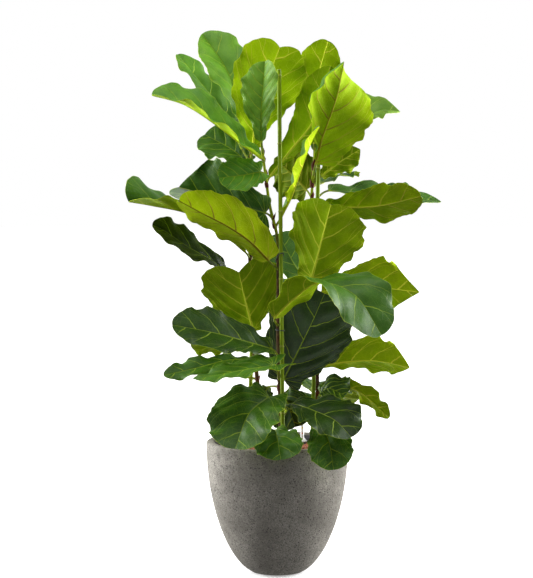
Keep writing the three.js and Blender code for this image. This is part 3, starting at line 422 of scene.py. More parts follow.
def set_floats(piece, name, values):
    """Gives each point of a piece a number that its material reads."""
    attribute = piece.data.attributes.new(name, "FLOAT", "POINT")
    attribute.data.foreach_set("value", np.asarray(values, np.float32).ravel())


def set_map(piece, name, corners):
    """Gives each face corner of a piece a pair of numbers that its material reads."""
    layer = piece.data.uv_layers.new(name=name)
    layer.data.foreach_set("uv", np.asarray(corners, np.float32).ravel())


# ---- Materials


def tint(red, green, blue):
    """Colour as the eye sees it, 0 to 255, turned into the light that a surface gives back."""
    value = np.array([red, green, blue]) / 255
    linear = np.where(value < 0.04045, value / 12.92, ((value + 0.055) / 1.055) ** 2.4)
    return (*linear.tolist(), 1.0)


class Nodes:
    """A tree to which nodes are added one by one; each method returns the socket it makes."""

    def __init__(self, tree):
        self.tree = tree

    def put(self, entry, value):
        """Links or sets one input."""
        if isinstance(value, bpy.types.NodeSocket):
            self.tree.links.new(value, entry)
        else:
            entry.default_value = value

    def node(self, kind, inputs=(), **settings):
        """Adds a node with its settings, and its inputs by name or in their order."""
        node = self.tree.nodes.new("ShaderNode" + kind)
        for key, value in settings.items():
            setattr(node, key, value)
        for key, value in inputs.items() if isinstance(inputs, dict) else enumerate(inputs):
            self.put(node.inputs[key], value)
        return node

    def math(self, operation, *values):
        """Arithmetic on up to three numbers."""
        return self.node("Math", values, operation=operation).outputs[0]

    def times(self, first, second):
        """Product of two numbers."""
        return self.math("MULTIPLY", first, second)

    def larger(self, first, second):
        """The larger of two numbers."""
        return self.math("MAXIMUM", first, second)

    def step(self, value, low, high, to_low=0.0, to_high=1.0):
        """Smooth passage from one value to another as the input goes from low to high."""
        values = (value, low, high, to_low, to_high)
        return self.node("MapRange", values, interpolation_type="SMOOTHSTEP").outputs[0]

    def split(self, vector):
        """The three parts of a vector."""
        return self.node("SeparateXYZ", [vector]).outputs


class Finish(Nodes):
    """A material made of nodes round one shader."""

    def __init__(self, name, roughness, gloss=0.5):
        self.material = bpy.data.materials.new(name)
        self.material.use_nodes = True
        super().__init__(self.material.node_tree)
        self.shader = self.tree.nodes["Principled BSDF"]
        self.set("Roughness", roughness)
        self.set("Specular IOR Level", gloss)

    def set(self, socket, value):
        """Links a socket to the shader, or sets the shader's own value."""
        self.put(self.shader.inputs[socket], value)

    def blend(self, share, first, second):
        """Mix of two colours."""
        node = self.node("Mix", data_type="RGBA")
        colours = [entry for entry in node.inputs if entry.type == "RGBA"]
        for entry, value in zip((node.inputs["Factor"], *colours), (share, first, second)):
            self.put(entry, value)
        return [out for out in node.outputs if out.type == "RGBA"][0]

    def tones(self, pattern, dark, light, low=0.3, high=0.7):
        """One colour where a pattern is low, passing into another where it is high."""
        return self.blend(self.step(pattern, low, high), dark, light)

    def cover(self, base, pattern, low, high, share, colour):
        """Colour that covers its share of the base where a pattern is high."""
        return self.blend(self.step(pattern, low, high, 0.0, share), base, colour)

    def number(self, name):
        """A piece's own number, as its points hold it."""
        return self.node("Attribute", attribute_name=name).outputs["Fac"]

    def map(self, name):
        """A piece's own map."""
        return self.node("UVMap", uv_map=name).outputs[0]

    def place(self):
        """Place on the object, in metres."""
        return self.node("TexCoord").outputs["Object"]

    def noise(self, vector, scale, detail=2.0, roughness=0.5):
        """Cloudy pattern between 0 and 1, scale of them to the metre."""
        inputs = dict(Vector=vector, Scale=scale, Detail=detail, Roughness=roughness)
        return self.node("TexNoise", inputs).outputs[0]

    def streaks(self, scale, detail=3.0, roughness=0.5):
        """Cloudy pattern on the object with a scale of its own to each side."""
        spread = self.node("Mapping", dict(Vector=self.place(), Scale=scale)).outputs[0]
        return self.noise(spread, 1, detail, roughness)

    def cells(self, vector, scale, feature="F1"):
        """Distance in a pattern of irregular cells, scale of them to the metre."""
        inputs = dict(Vector=vector, Scale=scale)
        return self.node("TexVoronoi", inputs, feature=feature).outputs["Distance"]

    def edges(self, vector, scale, width):
        """Net of the edges of irregular cells."""
        return self.step(self.cells(vector, scale, "DISTANCE_TO_EDGE"), 0.0, width, 1.0, 0.0)

    def relief(self, height, depth):
        """Raises the surface where height is 1, by depth in metres."""
        self.set("Normal", self.node("Bump", dict(Height=height, Distance=depth)).outputs[0])

    def finished(self, base, height, depth):
        """The material with its base colour and its relief."""
        self.set("Base Color", base)
        self.relief(height, depth)
        return self.material


def vein_patterns(finish, side):
    """Vein patterns of a leaf: midrib, side veins with their forks, and the nets between them.

    A side vein runs where the count of veins is whole, so its distance is how far the count is from
    whole times the spacing. The forks do the same with a count of their own. The midrib's distance
    is the map's own sideways part. The nets are the edges of irregular cells.
    """
    flat, counts = finish.map("flat"), finish.split(finish.map("veins"))
    reach, share, spacing = finish.number("reach"), finish.number("share"), finish.number("spacing")
    jitter = finish.times(finish.math("SUBTRACT", finish.noise(flat, 45), 0.5), 0.16)

    def line(count, width):
        apart = finish.math("PINGPONG", finish.math("ADD", count, jitter), 0.5)
        return finish.step(finish.math("DIVIDE", finish.times(apart, spacing), width), 0.45, 1.3, 1.0, 0.0)

    vein, midrib = side["vein"], side["midrib"]
    veins = line(counts[0], finish.step(reach, 0.0, 1.0, vein, vein * 0.35))
    forks = finish.times(line(counts[1], vein * 0.42), finish.step(reach, 0.36, 0.5))
    midrib_width = finish.step(share, 0.0, 1.0, midrib, midrib * 0.25)
    across = finish.math("DIVIDE", finish.math("ABSOLUTE", finish.split(flat)[1]), midrib_width)
    rib = finish.step(across, 0.45, 1.2, 1.0, 0.0)
    main = finish.larger(finish.larger(veins, rib), finish.times(forks, 0.75))
    return flat, reach, main, finish.edges(flat, 75, side["rung"]), finish.edges(flat, 260, side["net"])


LEAF_TOP = dict(midrib=0.0024, vein=0.00115, rung=0.045, net=0.08, clouds=22, rungs_show=0.1,
    net_shows=0.05, rungs_rise=0.3, net_rises=0.14)
LEAF_UNDER = dict(midrib=0.0036, vein=0.0016, rung=0.06, net=0.1, clouds=16, rungs_show=0.14,
    net_shows=0.08, rungs_rise=0.35, net_rises=0.16)


def leaf_ground(finish, side, dark, light, vein):
    """A leaf's clouded colour with its nets; how far a point is out; its veins, and their relief."""
    flat, reach, main, rungs, net = vein_patterns(finish, side)
    base = finish.tones(finish.noise(flat, side["clouds"], 3.0), dark, light)
    base = finish.blend(finish.times(rungs, side["rungs_show"]), base, vein)
    base = finish.blend(finish.times(net, side["net_shows"]), base, vein)
    ridges = finish.larger(main, finish.times(rungs, side["rungs_rise"]))
    return base, reach, main, finish.larger(ridges, finish.times(net, side["net_rises"]))


def vary(finish, colour):
    """Makes a leaf's colour lighter or darker, and yellower, by the leaf's own two numbers; the lightness
    holds the leaf's own tone and, on leaves that stand in shade, painted shade.
    """
    inputs = dict(Color=colour, Value=finish.number("light"), Hue=finish.number("hue"))
    return finish.node("HueSaturation", inputs).outputs[0]


def leaf_top(name, dark, light, vein, roughness):
    """Upper face: waxy, with pale sunken veins and a faint net, and a thin pale rim."""
    finish = Finish(name, roughness, gloss=0.2)
    base, reach, main, ridges = leaf_ground(finish, LEAF_TOP, dark, light, vein)
    base = finish.blend(finish.times(main, 0.66), vary(finish, base), vein)
    base = finish.cover(base, reach, 0.975, 0.995, 0.55, vein)
    return finish.finished(base, finish.math("SUBTRACT", 1.0, ridges), 0.0007)


def leaf_under(name, dark, light, vein, brown, roughness):
    """Underside: matt and paler, with raised veins, a clear net, and ribs that may turn brown. Its bright
    yellow-green is partly its own colour and partly a painted glow of light shining through the blade.
    """
    finish = Finish(name, roughness, gloss=0.03)
    base, reach, main, ridges = leaf_ground(finish, LEAF_UNDER, dark, light, vein)
    turned = finish.times(finish.number("ribs"), finish.step(reach, 0.15, 0.85, 1.0, 0.25))
    base = finish.blend(finish.times(main, 0.95), base, finish.blend(turned, vein, brown))
    base = finish.cover(base, reach, 0.975, 0.995, 0.4, vein)
    return finish.finished(vary(finish, base), ridges, 0.0009)


def petiole_finish():
    """Leaf stalk: smooth yellow-green, browner in streaks."""
    finish = Finish("leaf_stalk", 0.5, gloss=0.15)
    streaks = finish.streaks((260, 260, 40))
    base = finish.tones(streaks, tint(116, 132, 24), tint(104, 84, 34), 0.45, 0.75)
    return finish.finished(base, streaks, 0.0003)


def leaf_finishes():
    """Upper face, underside and stalk for each tone of leaf."""
    stalk, finishes = petiole_finish(), {}
    pale, olive, brown = tint(148, 172, 44), tint(206, 214, 62), tint(92, 70, 8)
    # Underside colours: the underside's own paler green, made brighter and yellower by a painted glow of
    # light shining through the blade.
    for tone, top, under, roughness in (
            ("young", [(62, 116, 14), (84, 138, 28)], [(132, 172, 0), (152, 190, 2)], 0.5),
            ("mature", [(42, 82, 8), (58, 100, 16)], [(126, 158, 0), (144, 176, 2)], 0.42),
            ("old", [(26, 56, 3), (40, 74, 8)], [(104, 130, 4), (120, 148, 10)], 0.4)):
        finishes[tone] = [
            leaf_top(f"leaf_{tone}_top", tint(*top[0]), tint(*top[1]), pale, roughness),
            leaf_under(f"leaf_{tone}_under", tint(*under[0]), tint(*under[1]), olive, brown, 0.6),
            stalk]
    return finishes


def concrete_finish():
    """Warm grey cast concrete: soft mottling, fine grain, dark specks and small pits."""
    finish = Finish("pot_concrete", 0.88, gloss=0.3)
    place = finish.place()
    grain = finish.noise(place, 300, 4.0, 0.75)
    clouds = finish.noise(place, 9, 5.0, 0.6)
    base = finish.tones(clouds, tint(122, 118, 110), tint(158, 154, 145), 0.35, 0.65)
    base = finish.cover(base, grain, 0.38, 0.62, 0.75, tint(88, 84, 77))
    base = finish.cover(base, finish.noise(place, 38, 6.0, 0.7), 0.5, 0.7, 0.55, tint(90, 86, 78))
    specks = finish.step(finish.cells(place, 165), 0.16, 0.36, 1.0, 0.0)
    pits = finish.times(specks, finish.step(finish.noise(place, 110), 0.42, 0.52))
    base = finish.blend(finish.times(pits, 0.9), base, tint(46, 44, 40))
    return finish.finished(base, finish.math("SUBTRACT", finish.times(grain, 0.6), pits), 0.0009)


def plain_finish(name, colour, roughness):
    """Moulded plastic: one colour with a fine cast grain."""
    finish = Finish(name, roughness)
    speckle = finish.noise(finish.place(), 900)
    darker = tuple(0.82 * part for part in colour[:3]) + (1.0,)
    return finish.finished(finish.tones(speckle, darker, colour), speckle, 0.0001)


def clay_finish():
    """Fired clay granules: each lump its own red-brown, rough and pitted, with a paler crust in patches;
    the bed that shows between the lumps is darker.
    """
    finish = Finish("clay_granule", 0.95)
    base = finish.blend(finish.number("own"), tint(112, 58, 44), tint(186, 118, 92))
    crust = finish.noise(finish.place(), 700, 4.0, 0.7)
    base = finish.cover(base, crust, 0.35, 0.7, 0.5, tint(206, 150, 124))
    return finish.finished(base, crust, 0.0006)


def bark_finish():
    """Stem: brown corky bark with fine cracks, turning smooth and green towards the top."""
    finish = Finish("stem_bark", 0.85, gloss=0.15)
    cracks, patches = finish.streaks((380, 380, 70), 5.0, 0.65), finish.streaks((60, 60, 24))
    bark = finish.tones(cracks, tint(42, 29, 17), tint(94, 74, 44), 0.35, 0.65)
    bark = finish.cover(bark, patches, 0.5, 0.66, 0.5, tint(78, 34, 15))
    green = finish.tones(cracks, tint(112, 128, 12), tint(150, 162, 24))
    uneven = finish.times(finish.math("SUBTRACT", patches, 0.5), 0.16)
    ragged_height = finish.math("ADD", finish.split(finish.place())[2], uneven)
    return finish.finished(finish.tones(ragged_height, bark, green, 0.8, 0.9), cracks, 0.0009)


def stipule_finish():
    """Dry papery scales, red-brown with darker ribs along them."""
    finish = Finish("stem_scale", 0.7, gloss=0.15)
    fibres = finish.streaks((900, 900, 60))
    return finish.finished(finish.tones(fibres, tint(32, 15, 8), tint(104, 46, 20)), fibres, 0.0004)


def cane_finish():
    """Green-stained bamboo: fine fibres along it, paler and browner in places."""
    finish = Finish("cane_bamboo", 0.5, gloss=0.12)
    fibres = finish.streaks((700, 700, 18), 4.0)
    base = finish.tones(fibres, tint(88, 112, 0), tint(128, 152, 2))
    base = finish.cover(base, finish.streaks((30, 30, 7)), 0.5, 0.72, 0.4, tint(146, 156, 20))
    base = finish.blend(finish.times(finish.number("ring"), 0.6), base, tint(150, 148, 74))
    base = finish.blend(finish.number("cut"), base, tint(214, 220, 178))
    return finish.finished(base, fibres, 0.0003)


# ---- Pot, liner, granules and gauge


def pot_radius(z):
    """Outer radius of the egg-shaped pot: the foot plus a share of the rest that grows from 0 at
    the foot as a power of one less the square of the drop from the rim."""
    drop = 1 - np.asarray(z) / POT["height"]
    return POT["foot"] + (POT["radius"] - POT["foot"]) * (1 - drop**2) ** POT["belly"]


def cavity_radius(z):
    """Inner radius of the pot at a height."""
    return pot_radius(z) - POT["wall"]


def arc(centre, radius, start, end, steps):
    """Points of a round, from one angle to another in degrees, from the outside over the top."""
    angle = np.radians(np.linspace(start, end, steps))
    return [(centre[0] + radius * np.cos(a), centre[1] + radius * np.sin(a)) for a in angle]


def pot_piece(material):
    """Pot turned from its outline: foot, egg-shaped outside, rounded rim and the inside down to the
    floor."""
    rim, wall_top = POT["rim"], POT["height"] - POT["rim"]
    edge = POT["foot_edge"]
    outside_z = wall_top * np.linspace(0, 1, 70)[1:-1] ** 1.9
    outside = [(r, z) for r, z in zip(pot_radius(outside_z), outside_z) if z > edge]
    foot = arc((pot_radius(edge) - edge - 2, edge), edge, -90, -20, 6)
    rims = arc((POT["radius"] - rim, wall_top), rim, 0, 90, 9)
    rims += arc((cavity_radius(wall_top) + rim, wall_top), rim, 90, 180, 9)
    inside = [(cavity_radius(z), z) for z in np.linspace(wall_top, POT["floor"], 30)[1:]]
    profile = [(0, 0), (POT["foot"] * 0.5, 0), *foot, *outside, *rims, *inside, (0, POT["floor"])]
    turned_piece("planter_shell", profile, POT["sides"], material, "concrete", ["pot"])


def liner_piece(material):
    """Thin liner turned from its outline, with a rounded upper edge."""
    gap, wall, floor = LINER["gap"], LINER["wall"], LINER["floor"]
    top = LINER["top"] - wall / 2
    outer = [(cavity_radius(z) - gap, z) for z in np.linspace(floor, top, 30)]
    inner = [(cavity_radius(z) - gap - wall, z) for z in np.linspace(top, floor + wall, 30)]
    edge = arc((cavity_radius(top) - gap - wall / 2, top), wall / 2, 0, 180, 9)[1:-1]
    profile = [(0, floor), *outer, *edge, *inner, (0, floor + wall)]
    turned_piece("liner_shell", profile, POT["sides"], material, "liner_plastic", ["liner"])


def granule_height(x, y, edge):
    """Height of the granules' bed: bumps where two bent waves cross, on a wide shallow swell, and
    both die out over the strip along the liner."""
    bumps = np.sin(x / 4.1 + 2 * np.sin(y / 13)) * np.sin(y / 3.7 + 2 * np.sin(x / 11))
    swell = np.sin(x / 37 + 1.3) * np.sin(y / 41 + 0.6)
    return GRANULES["top"] + (GRANULES["relief"] * bumps + GRANULES["swell"] * swell) * edge


def granule_room(z):
    """Radius of the granules inside the liner at a height."""
    return cavity_radius(z) - LINER["gap"] - LINER["wall"] - GRANULES["gap"]


def bed_rings():
    """Rings of the granules' body: up along the liner, then across its surface to the middle."""
    levels = np.linspace(GRANULES["foot"], GRANULES["top"], 16)
    side_rings = turned_rings([(granule_room(z), z) for z in levels], GRANULES["sides"])
    rim = granule_room(GRANULES["top"])
    radius = np.linspace(rim, 0, 34)[1:-1]
    surface = turned_rings(np.stack([radius, radius * 0], -1), GRANULES["sides"])
    edge = np.clip((rim - radius) / GRANULES["edge"], 0, 1)[:, None]
    surface[..., 2] = granule_height(surface[..., 0], surface[..., 1], edge) - GRANULES["under"]
    return np.concatenate([side_rings, surface])


def pebble_shape():
    """Round lump of 4 rings of 7 points and its poles, with a radius of one."""
    lat, lon = np.linspace(-np.pi / 2, np.pi / 2, 6)[1:-1, None], full_turn(7)
    rings = np.stack([np.cos(lat) * np.cos(lon), np.cos(lat) * np.sin(lon), np.sin(lat) + 0 * lon], -1)
    return closed_skin(rings, [0, 0, -1], [0, 0, 1])


def scatter_places(rng):
    """Places on the bed on a sunflower's spiral, each pushed a little aside, clear of the liner."""
    rim = granule_room(GRANULES["top"]) - PEBBLES["large"]
    count = int((rim / PEBBLES["spacing"]) ** 2 * np.pi * 1.15)
    radius = rim * np.sqrt((np.arange(count) + 0.5) / count)
    angle = np.arange(count) * np.radians(137.5)
    spot = np.stack([radius * np.cos(angle), radius * np.sin(angle)], -1)
    spot += rng.uniform(-0.35, 0.35, spot.shape) * PEBBLES["spacing"]
    return spot * np.minimum(1, rim / np.linalg.norm(spot, axis=1, keepdims=True))


def granules_piece(material):
    """Bed of fired clay granules: a closed body, covered with a layer of lumps of many sizes.

    Each lump is the same round shape with its points pushed in and out, squashed, turned about the
    upright and tipped, all by one seeded draw, and it lies half sunk in the bed.
    """
    rng = np.random.default_rng(PEBBLES["seed"])
    middle = [0, 0, float(granule_height(0, 0, 1)) - GRANULES["under"]]
    bed = closed_skin(bed_rings(), [0, 0, GRANULES["foot"]], middle)
    shape, shape_quads, shape_triangles = pebble_shape()
    spots = scatter_places(rng)
    count = len(spots)
    size = rng.uniform(PEBBLES["small"], PEBBLES["large"], (count, 1, 1))
    lumps = shape[None] * (1 + rng.uniform(-0.16, 0.16, (count, len(shape), 1)))
    lumps = lumps * size * rng.uniform(0.75, 1.1, (count, 1, 3))
    turn, tip = rng.uniform(0, 2 * np.pi, count), rng.uniform(-0.7, 0.7, count)
    lumps = tilt_and_turn(lumps, tip, turn)
    height = granule_height(spots[:, 0], spots[:, 1], 1) + rng.uniform(-1.2, 1.4, count) - 1.0
    lumps += np.concatenate([spots, height[:, None]], 1)[:, None]
    first = np.arange(count)[:, None, None] * len(shape)
    cover = (lumps.reshape(-1, 3), (shape_quads + first).reshape(-1, 4),
        (shape_triangles + first).reshape(-1, 3))
    piece = make_piece("clay_granules", *join_shapes([bed, cover]), [material], "clay", ["granules"],
        smooth_angle=180)
    own = np.repeat(rng.uniform(0, 1, count), len(shape))
    # The bed between the lumps takes the dark end of the red-browns, and each lump its own between dark
    # and pale.
    set_floats(piece, "own", np.concatenate([np.full(len(bed[0]), 0.1), own]))


def tilt_and_turn(lumps, tip, turn):
    """Tips each lump about the side-to-side axis, then turns it about the upright."""
    x, y, z = np.moveaxis(lumps, -1, 0)
    c, s = np.cos(tip)[:, None], np.sin(tip)[:, None]
    y, z = y * c - z * s, y * s + z * c
    c, s = np.cos(turn)[:, None], np.sin(turn)[:, None]
    return np.stack([x * c - y * s, x * s + y * c, z], -1)


def gauge_pieces(white, grey, marks):
    """Water gauge: white post with a rounded top in its funnel, its collar, and two round marks."""
    g, radius = GAUGE, GAUGE["radius"]
    lip = g["funnel_foot"] + g["lip"]
    top = arc((radius - g["round"], g["top"] - g["round"]), g["round"], 0, 80, 6)
    profile = [(0, g["foot"]), (radius, g["foot"]), (radius, g["funnel_foot"]),
        (g["funnel"], g["funnel_foot"]), (g["funnel"], lip), (g["funnel"] - 1, lip + 0.6),
        (radius + 0.6, g["funnel_top"] - 2), (radius, g["funnel_top"]), *top, (0, g["top"])]
    turned_piece("gauge_post", profile, g["sides"], white, "gauge_white", ["gauge"], g["place"])
    bore, outer, low, high, edge = (COLLAR[key] for key in ("bore", "radius", "foot", "top", "edge"))
    outline = [(bore, low), (outer, low), (outer, high - edge), (outer - edge, high), (bore, high)]
    ring = looped_skin(turned_rings(outline, g["sides"], g["place"]))
    make_piece("gauge_ring", *ring, [grey], "gauge_grey", ["gauge_collar"])
    for name, height in MARKS.items():
        mark_piece(name, height, marks[name])


def mark_piece(name, height, material):
    """Small round level mark: a thin dome on the front of the gauge's post."""
    share = np.linspace(1, 0, 5)[:-1]
    dome = np.stack([MARK["radius"] * share, MARK["height"] * np.sqrt(1 - share**2)], -1)
    x, y, z = np.moveaxis(turned_rings(dome, MARK["sides"]), -1, 0)
    centre, radius = GAUGE["place"], GAUGE["radius"]
    laid = np.stack([centre[0] + x, centre[1] - np.sqrt(radius**2 - x**2) - z, height + y], -1)
    start = [centre[0], centre[1] - radius + 0.3, height]
    end = [centre[0], centre[1] - radius - MARK["height"], height]
    make_piece(name, *closed_skin(laid, start, end), [material], "gauge_white")


# ---- Stems, canes and ties


def stem_radius(stem, axis, z):
    """Radius of a stem at a height, between its foot and its tip."""
    low = GRANULES["top"] - STEM["buried"]
    return mix(*stem["radii"], (z - low) / (axis[-1, 2] - low))


def stem_axis(stem):
    """Axis of a stem: the curve through its places, taken at even heights, up to the bud."""
    curve = sample_curve(place(stem["places"]))
    low, top = GRANULES["top"] - STEM["buried"], curve[-1]
    levels = np.linspace(low, top[2] - STEM["bud"], STEM["rings"])
    return np.concatenate([at_height(curve, levels), [top]])


def leaves_of(stem):
    """Rows of the leaves that grow from a stem."""
    return [leaf for name, leaf in LEAVES.items() if name.startswith(stem)]


def stem_piece(name, material):
    """Stem with a swelling at each leaf and old leaf scars between, and a pointed bud.

    The radius is the stem's own, plus a bump of the shape of a bell at each node. Over the bud it
    falls to the tip's as a power of the way down.
    """
    stem = STEMS[name]
    axis = stem_axis(stem)
    middle = sample_curve(axis, 40)
    roots = np.array([leaf["root"] for leaf in leaves_of(name)])
    scars = np.arange(GRANULES["top"] + STEM["first_scar"], roots.min(), STEM["scar_step"])
    z = middle[:, 2]
    swelling = bell(z[:, None] - np.concatenate([roots, scars]), STEM["node_height"]).max(1)
    radius = stem_radius(stem, axis, z) * (STEM["slim"] + STEM["swelling"] * swelling)
    bud = np.clip((axis[-1, 2] - z) / STEM["bud"], 0, 1)
    radius = np.where(bud < 1, mix(STEM["bud_radius"], radius, bud**0.7), radius)
    shape = closed_skin(tube_rings(middle, radius, STEM["sides"]), middle[0], middle[-1])
    make_piece(f"bark_{name}", *shape, [material], "bark", [f"stem_{name}"])


def scales_piece(name, material):
    """Dry scales of a stem: a few at each leaf's root, on the side away from the leaf."""
    stem = STEMS[name]
    axis = stem_axis(stem)
    shapes = []
    for number, leaf in enumerate(leaves_of(name)):
        centre = at_height(axis, leaf["root"])[0]
        away = centre - place(leaf["spine"][0])
        bearing = np.arctan2(away[1], away[0]) + 0.3 * np.sin(number * 2.4)
        radius = stem_radius(stem, axis, leaf["root"])
        shapes += [scale_shape(centre, radius, bearing + s["turn"], s["size"]) for s in STIPULE_SET]
    make_piece(f"scales_{name}", *join_shapes(shapes), [material], "bark")


def scale_shape(centre, radius, bearing, size):
    """Dry scale: a thin pointed leaf wrapped round the stem, whose tip leans out.

    Its half width falls from the foot to the tip as one less the square of the way up, and its
    points lie round the stem at an angle of the sideways distance over the radius.
    """
    u, v = np.linspace(0, 1, 8)[:-1, None], np.linspace(-1, 1, 7)
    length, foot = STIPULE["length"] * size, STIPULE["foot"]
    half = STIPULE["width"] * size * (1 - u**2) * (0.55 + 0.45 * (1 - u))
    out = radius * 1.04 + STIPULE["lift"] * size * u**1.5 * (1 + 0.25 * np.sin(5 * u))
    angle = bearing + half * v / radius * 0.8
    inner = out + 0.5 * (1 - np.abs(v))
    faces = [np.stack([centre[0] + reach * np.cos(angle), centre[1] + reach * np.sin(angle),
        np.broadcast_to(centre[2] - foot + length * u, angle.shape)], -1)
        for reach in (inner + STIPULE["thickness"], inner)]
    rings = np.concatenate([faces[0], faces[1][:, ::-1]], 1)
    tip_out = float(out[-1, 0]) + 0.8
    tip = centre + [tip_out * np.cos(bearing), tip_out * np.sin(bearing), length - foot]
    return closed_skin(rings, rings[0].mean(0), tip)


def cane_ends(name):
    """Foot of a cane in the granules, and its top."""
    low, top = place(CANES[name]["foot"]), place(CANES[name]["top"])
    along = unit(top - low)
    return low + along * (GRANULES["top"] - CANE["buried"] - low[2]) / along[2], top


def cane_piece(name, material):
    """Bamboo cane: a straight tube with a raised ring and a groove over it at each joint, and a
    sawn top. Each joint's ring is a bell and its groove a narrower one just above."""
    foot, top = cane_ends(name)
    length, sides = np.linalg.norm(top - foot), CANE["sides"]
    joints = np.arange(length - CANE["first_ring"], CANE["buried"] + 10, -CANE["ring_step"])
    near = np.concatenate([joint + np.linspace(-7, 7, 15) for joint in joints])
    at = np.unique(np.concatenate([np.linspace(0, length - 0.4, 60), near, [length]]))
    at = at[at <= length]
    gap = at[:, None] - joints
    ring = bell(gap, CANE["ring_height"]).max(1)
    groove = bell(gap - CANE["groove_above"], CANE["groove_height"]).max(1)
    radius = CANE["radius"] * (1 + 0.012 * np.sin(at / 37))
    radius += CANE["ring"] * ring - CANE["groove"] * groove
    radius[-1] -= 0.5
    rings = tube_rings(foot + (top - foot) * (at / length)[:, None], radius, sides)
    shape = closed_skin(rings, foot, top)
    piece = make_piece(f"bamboo_{name}", *shape, [material], "cane", [f"cane_{name}"])
    set_floats(piece, "ring", [*np.repeat(ring, sides), 0, 0])
    set_floats(piece, "cut", [*np.repeat(at > length - 0.2, sides), 0, 1])


def tie_piece(name, material):
    """Wire loop round a stem and its cane: two half rounds joined by straights, tilted along the
    cane, and a twisted tail at the stem's side."""
    tie = TIES[name]
    foot, top = cane_ends(tie["on"])
    stem = STEMS[tie["on"]]
    axis = stem_axis(stem)
    height = tie["height"]
    post = foot + (top - foot) * (height - foot[2]) / (top[2] - foot[2])
    level = (at_height(axis, height)[0] - post) * [1, 1, 0]
    wood = at_height(axis, height + tie["tilt"] * np.linalg.norm(level) / 2)[0]
    between = (wood - post) * [1, 1, 0]
    gap = np.linalg.norm(between)
    between = between / gap
    across = np.array([-between[1], between[0], 0])
    clear = TIE["clearance"] + TIE["wire"] + tie["slack"]
    angle = np.radians(np.linspace(90, 270, TIE["bends"]))
    at_cane, at_stem = CANE["radius"] + clear, stem_radius(stem, axis, height) + clear
    out = np.concatenate([at_cane * np.cos(angle), gap - at_stem * np.cos(angle)])[:, None]
    side = np.concatenate([at_cane * np.sin(angle), -at_stem * np.sin(angle)])[:, None]
    path = post + out * between + side * across + tie["tilt"] * (out - gap / 2) * [0, 0, 1]
    along = unit(np.roll(path, -1, 0) - np.roll(path, 1, 0))
    outward = unit(np.cross(along, [0, 0, 1]))
    rings = rings_round(path, TIE["wire"], outward, np.cross(along, outward), full_turn(TIE["sides"]))
    tail = tie_tail(path[0] + outward[0] * TIE["wire"], unit(outward[0] + np.array([0, 0, 0.6])))
    shape = join_shapes([looped_skin(rings), *tail])
    make_piece(f"wire_{name}", *shape, [material], "wire", [f"tie_{name}"])


def tie_tail(start, direction):
    """Two short wires twisted round each other: two helices half a turn apart."""
    side = unit(np.cross(direction, [0, 0, 1.0]))
    up = np.cross(side, direction)
    along = np.linspace(0, TAIL["length"], TAIL["rings"])[:, None]
    shapes = []
    for phase in (0, np.pi):
        angle = along * TAIL["twist"] + phase
        spread = TAIL["radius"] * (side * np.cos(angle) + up * np.sin(angle))
        centres = start + direction * along + spread
        rings = tube_rings(centres, TAIL["wire"], TAIL["sides"])
        shapes.append(closed_skin(rings, centres[0], centres[-1]))
    return shapes


# ---- Leaves


def blade_profile(t, full):
    """Half width of a blade as a share of its greatest: a waisted and a round outline mixed, each a
    power of a sine of a power of the way along, plus ears of the shape of a bell at the base."""
    waisted = np.sin(np.pi * t**1.67) ** 0.65
    rounded = np.sin(np.pi * t**1.15) ** 0.5
    return mix(waisted, rounded, full) + 0.16 * bell(t - 0.07, 0.07)


def arc_reach(length, start, end):
    """Reach outwards and rise of an arc whose slope runs evenly from one angle to another: the
    differences of the sines and cosines of the two slopes, over the turn between them."""
    turn = np.where(np.abs(end - start) < 1e-3, 1e-3, end - start)
    scale = length / turn
    return scale * (np.sin(start + turn) - np.sin(start)), scale * (np.cos(start) - np.cos(start + turn))


def read_leaf(name):
    """A row of the table with what it leaves out, and with both halves and both ends given."""
    leaf = {**LEAF_DEFAULTS, **LEAVES[name]}
    leaf = {"tip_fold": leaf["fold"], "tip_curl": leaf["curl"], **leaf}
    for key in ("fold", "tip_fold", "curl", "tip_curl", "full", "notch"):
        if not isinstance(leaf[key], tuple):
            leaf[key] = (leaf[key], leaf[key])
    if isinstance(leaf["up"], tuple):
        leaf["up"] = [leaf["up"], leaf["up"]]
    leaf["up"] = np.array(leaf["up"], float)
    return leaf


def vein_count(along, across, length, half_width, pairs, side):
    """How many side veins have been passed on the way from the base, and how far apart they are.

    A vein leaves the midrib where the count is whole and runs on towards the tip as it goes out, in
    a curve that bends further the further out it is. Ahead of the first pair the count is a power
    of the way along less that run. Behind it the veins fan out from the base, so the count falls
    with the angle round the base. On the right the upper veins lie between those of the left.
    """
    run = across * (0.65 + 0.5 * across / half_width)
    ahead = np.clip((along - run) / length, 0, None)
    behind = np.arctan2(across, along) - np.arctan2(across, run)
    count = pairs * ahead ** VEINS["crowding"] - np.clip(behind, 0, None) / VEINS["fan"]
    count = count + VEINS["offset"] * side * smooth_step(0.02, 0.3, ahead)
    apart = length / pairs * np.maximum(ahead, 0.05) ** (1 - VEINS["crowding"]) * VEINS["slant"]
    fanned = np.hypot(along, across) * VEINS["fan"]
    return count, np.where(ahead > 0, apart, np.minimum(apart, fanned))


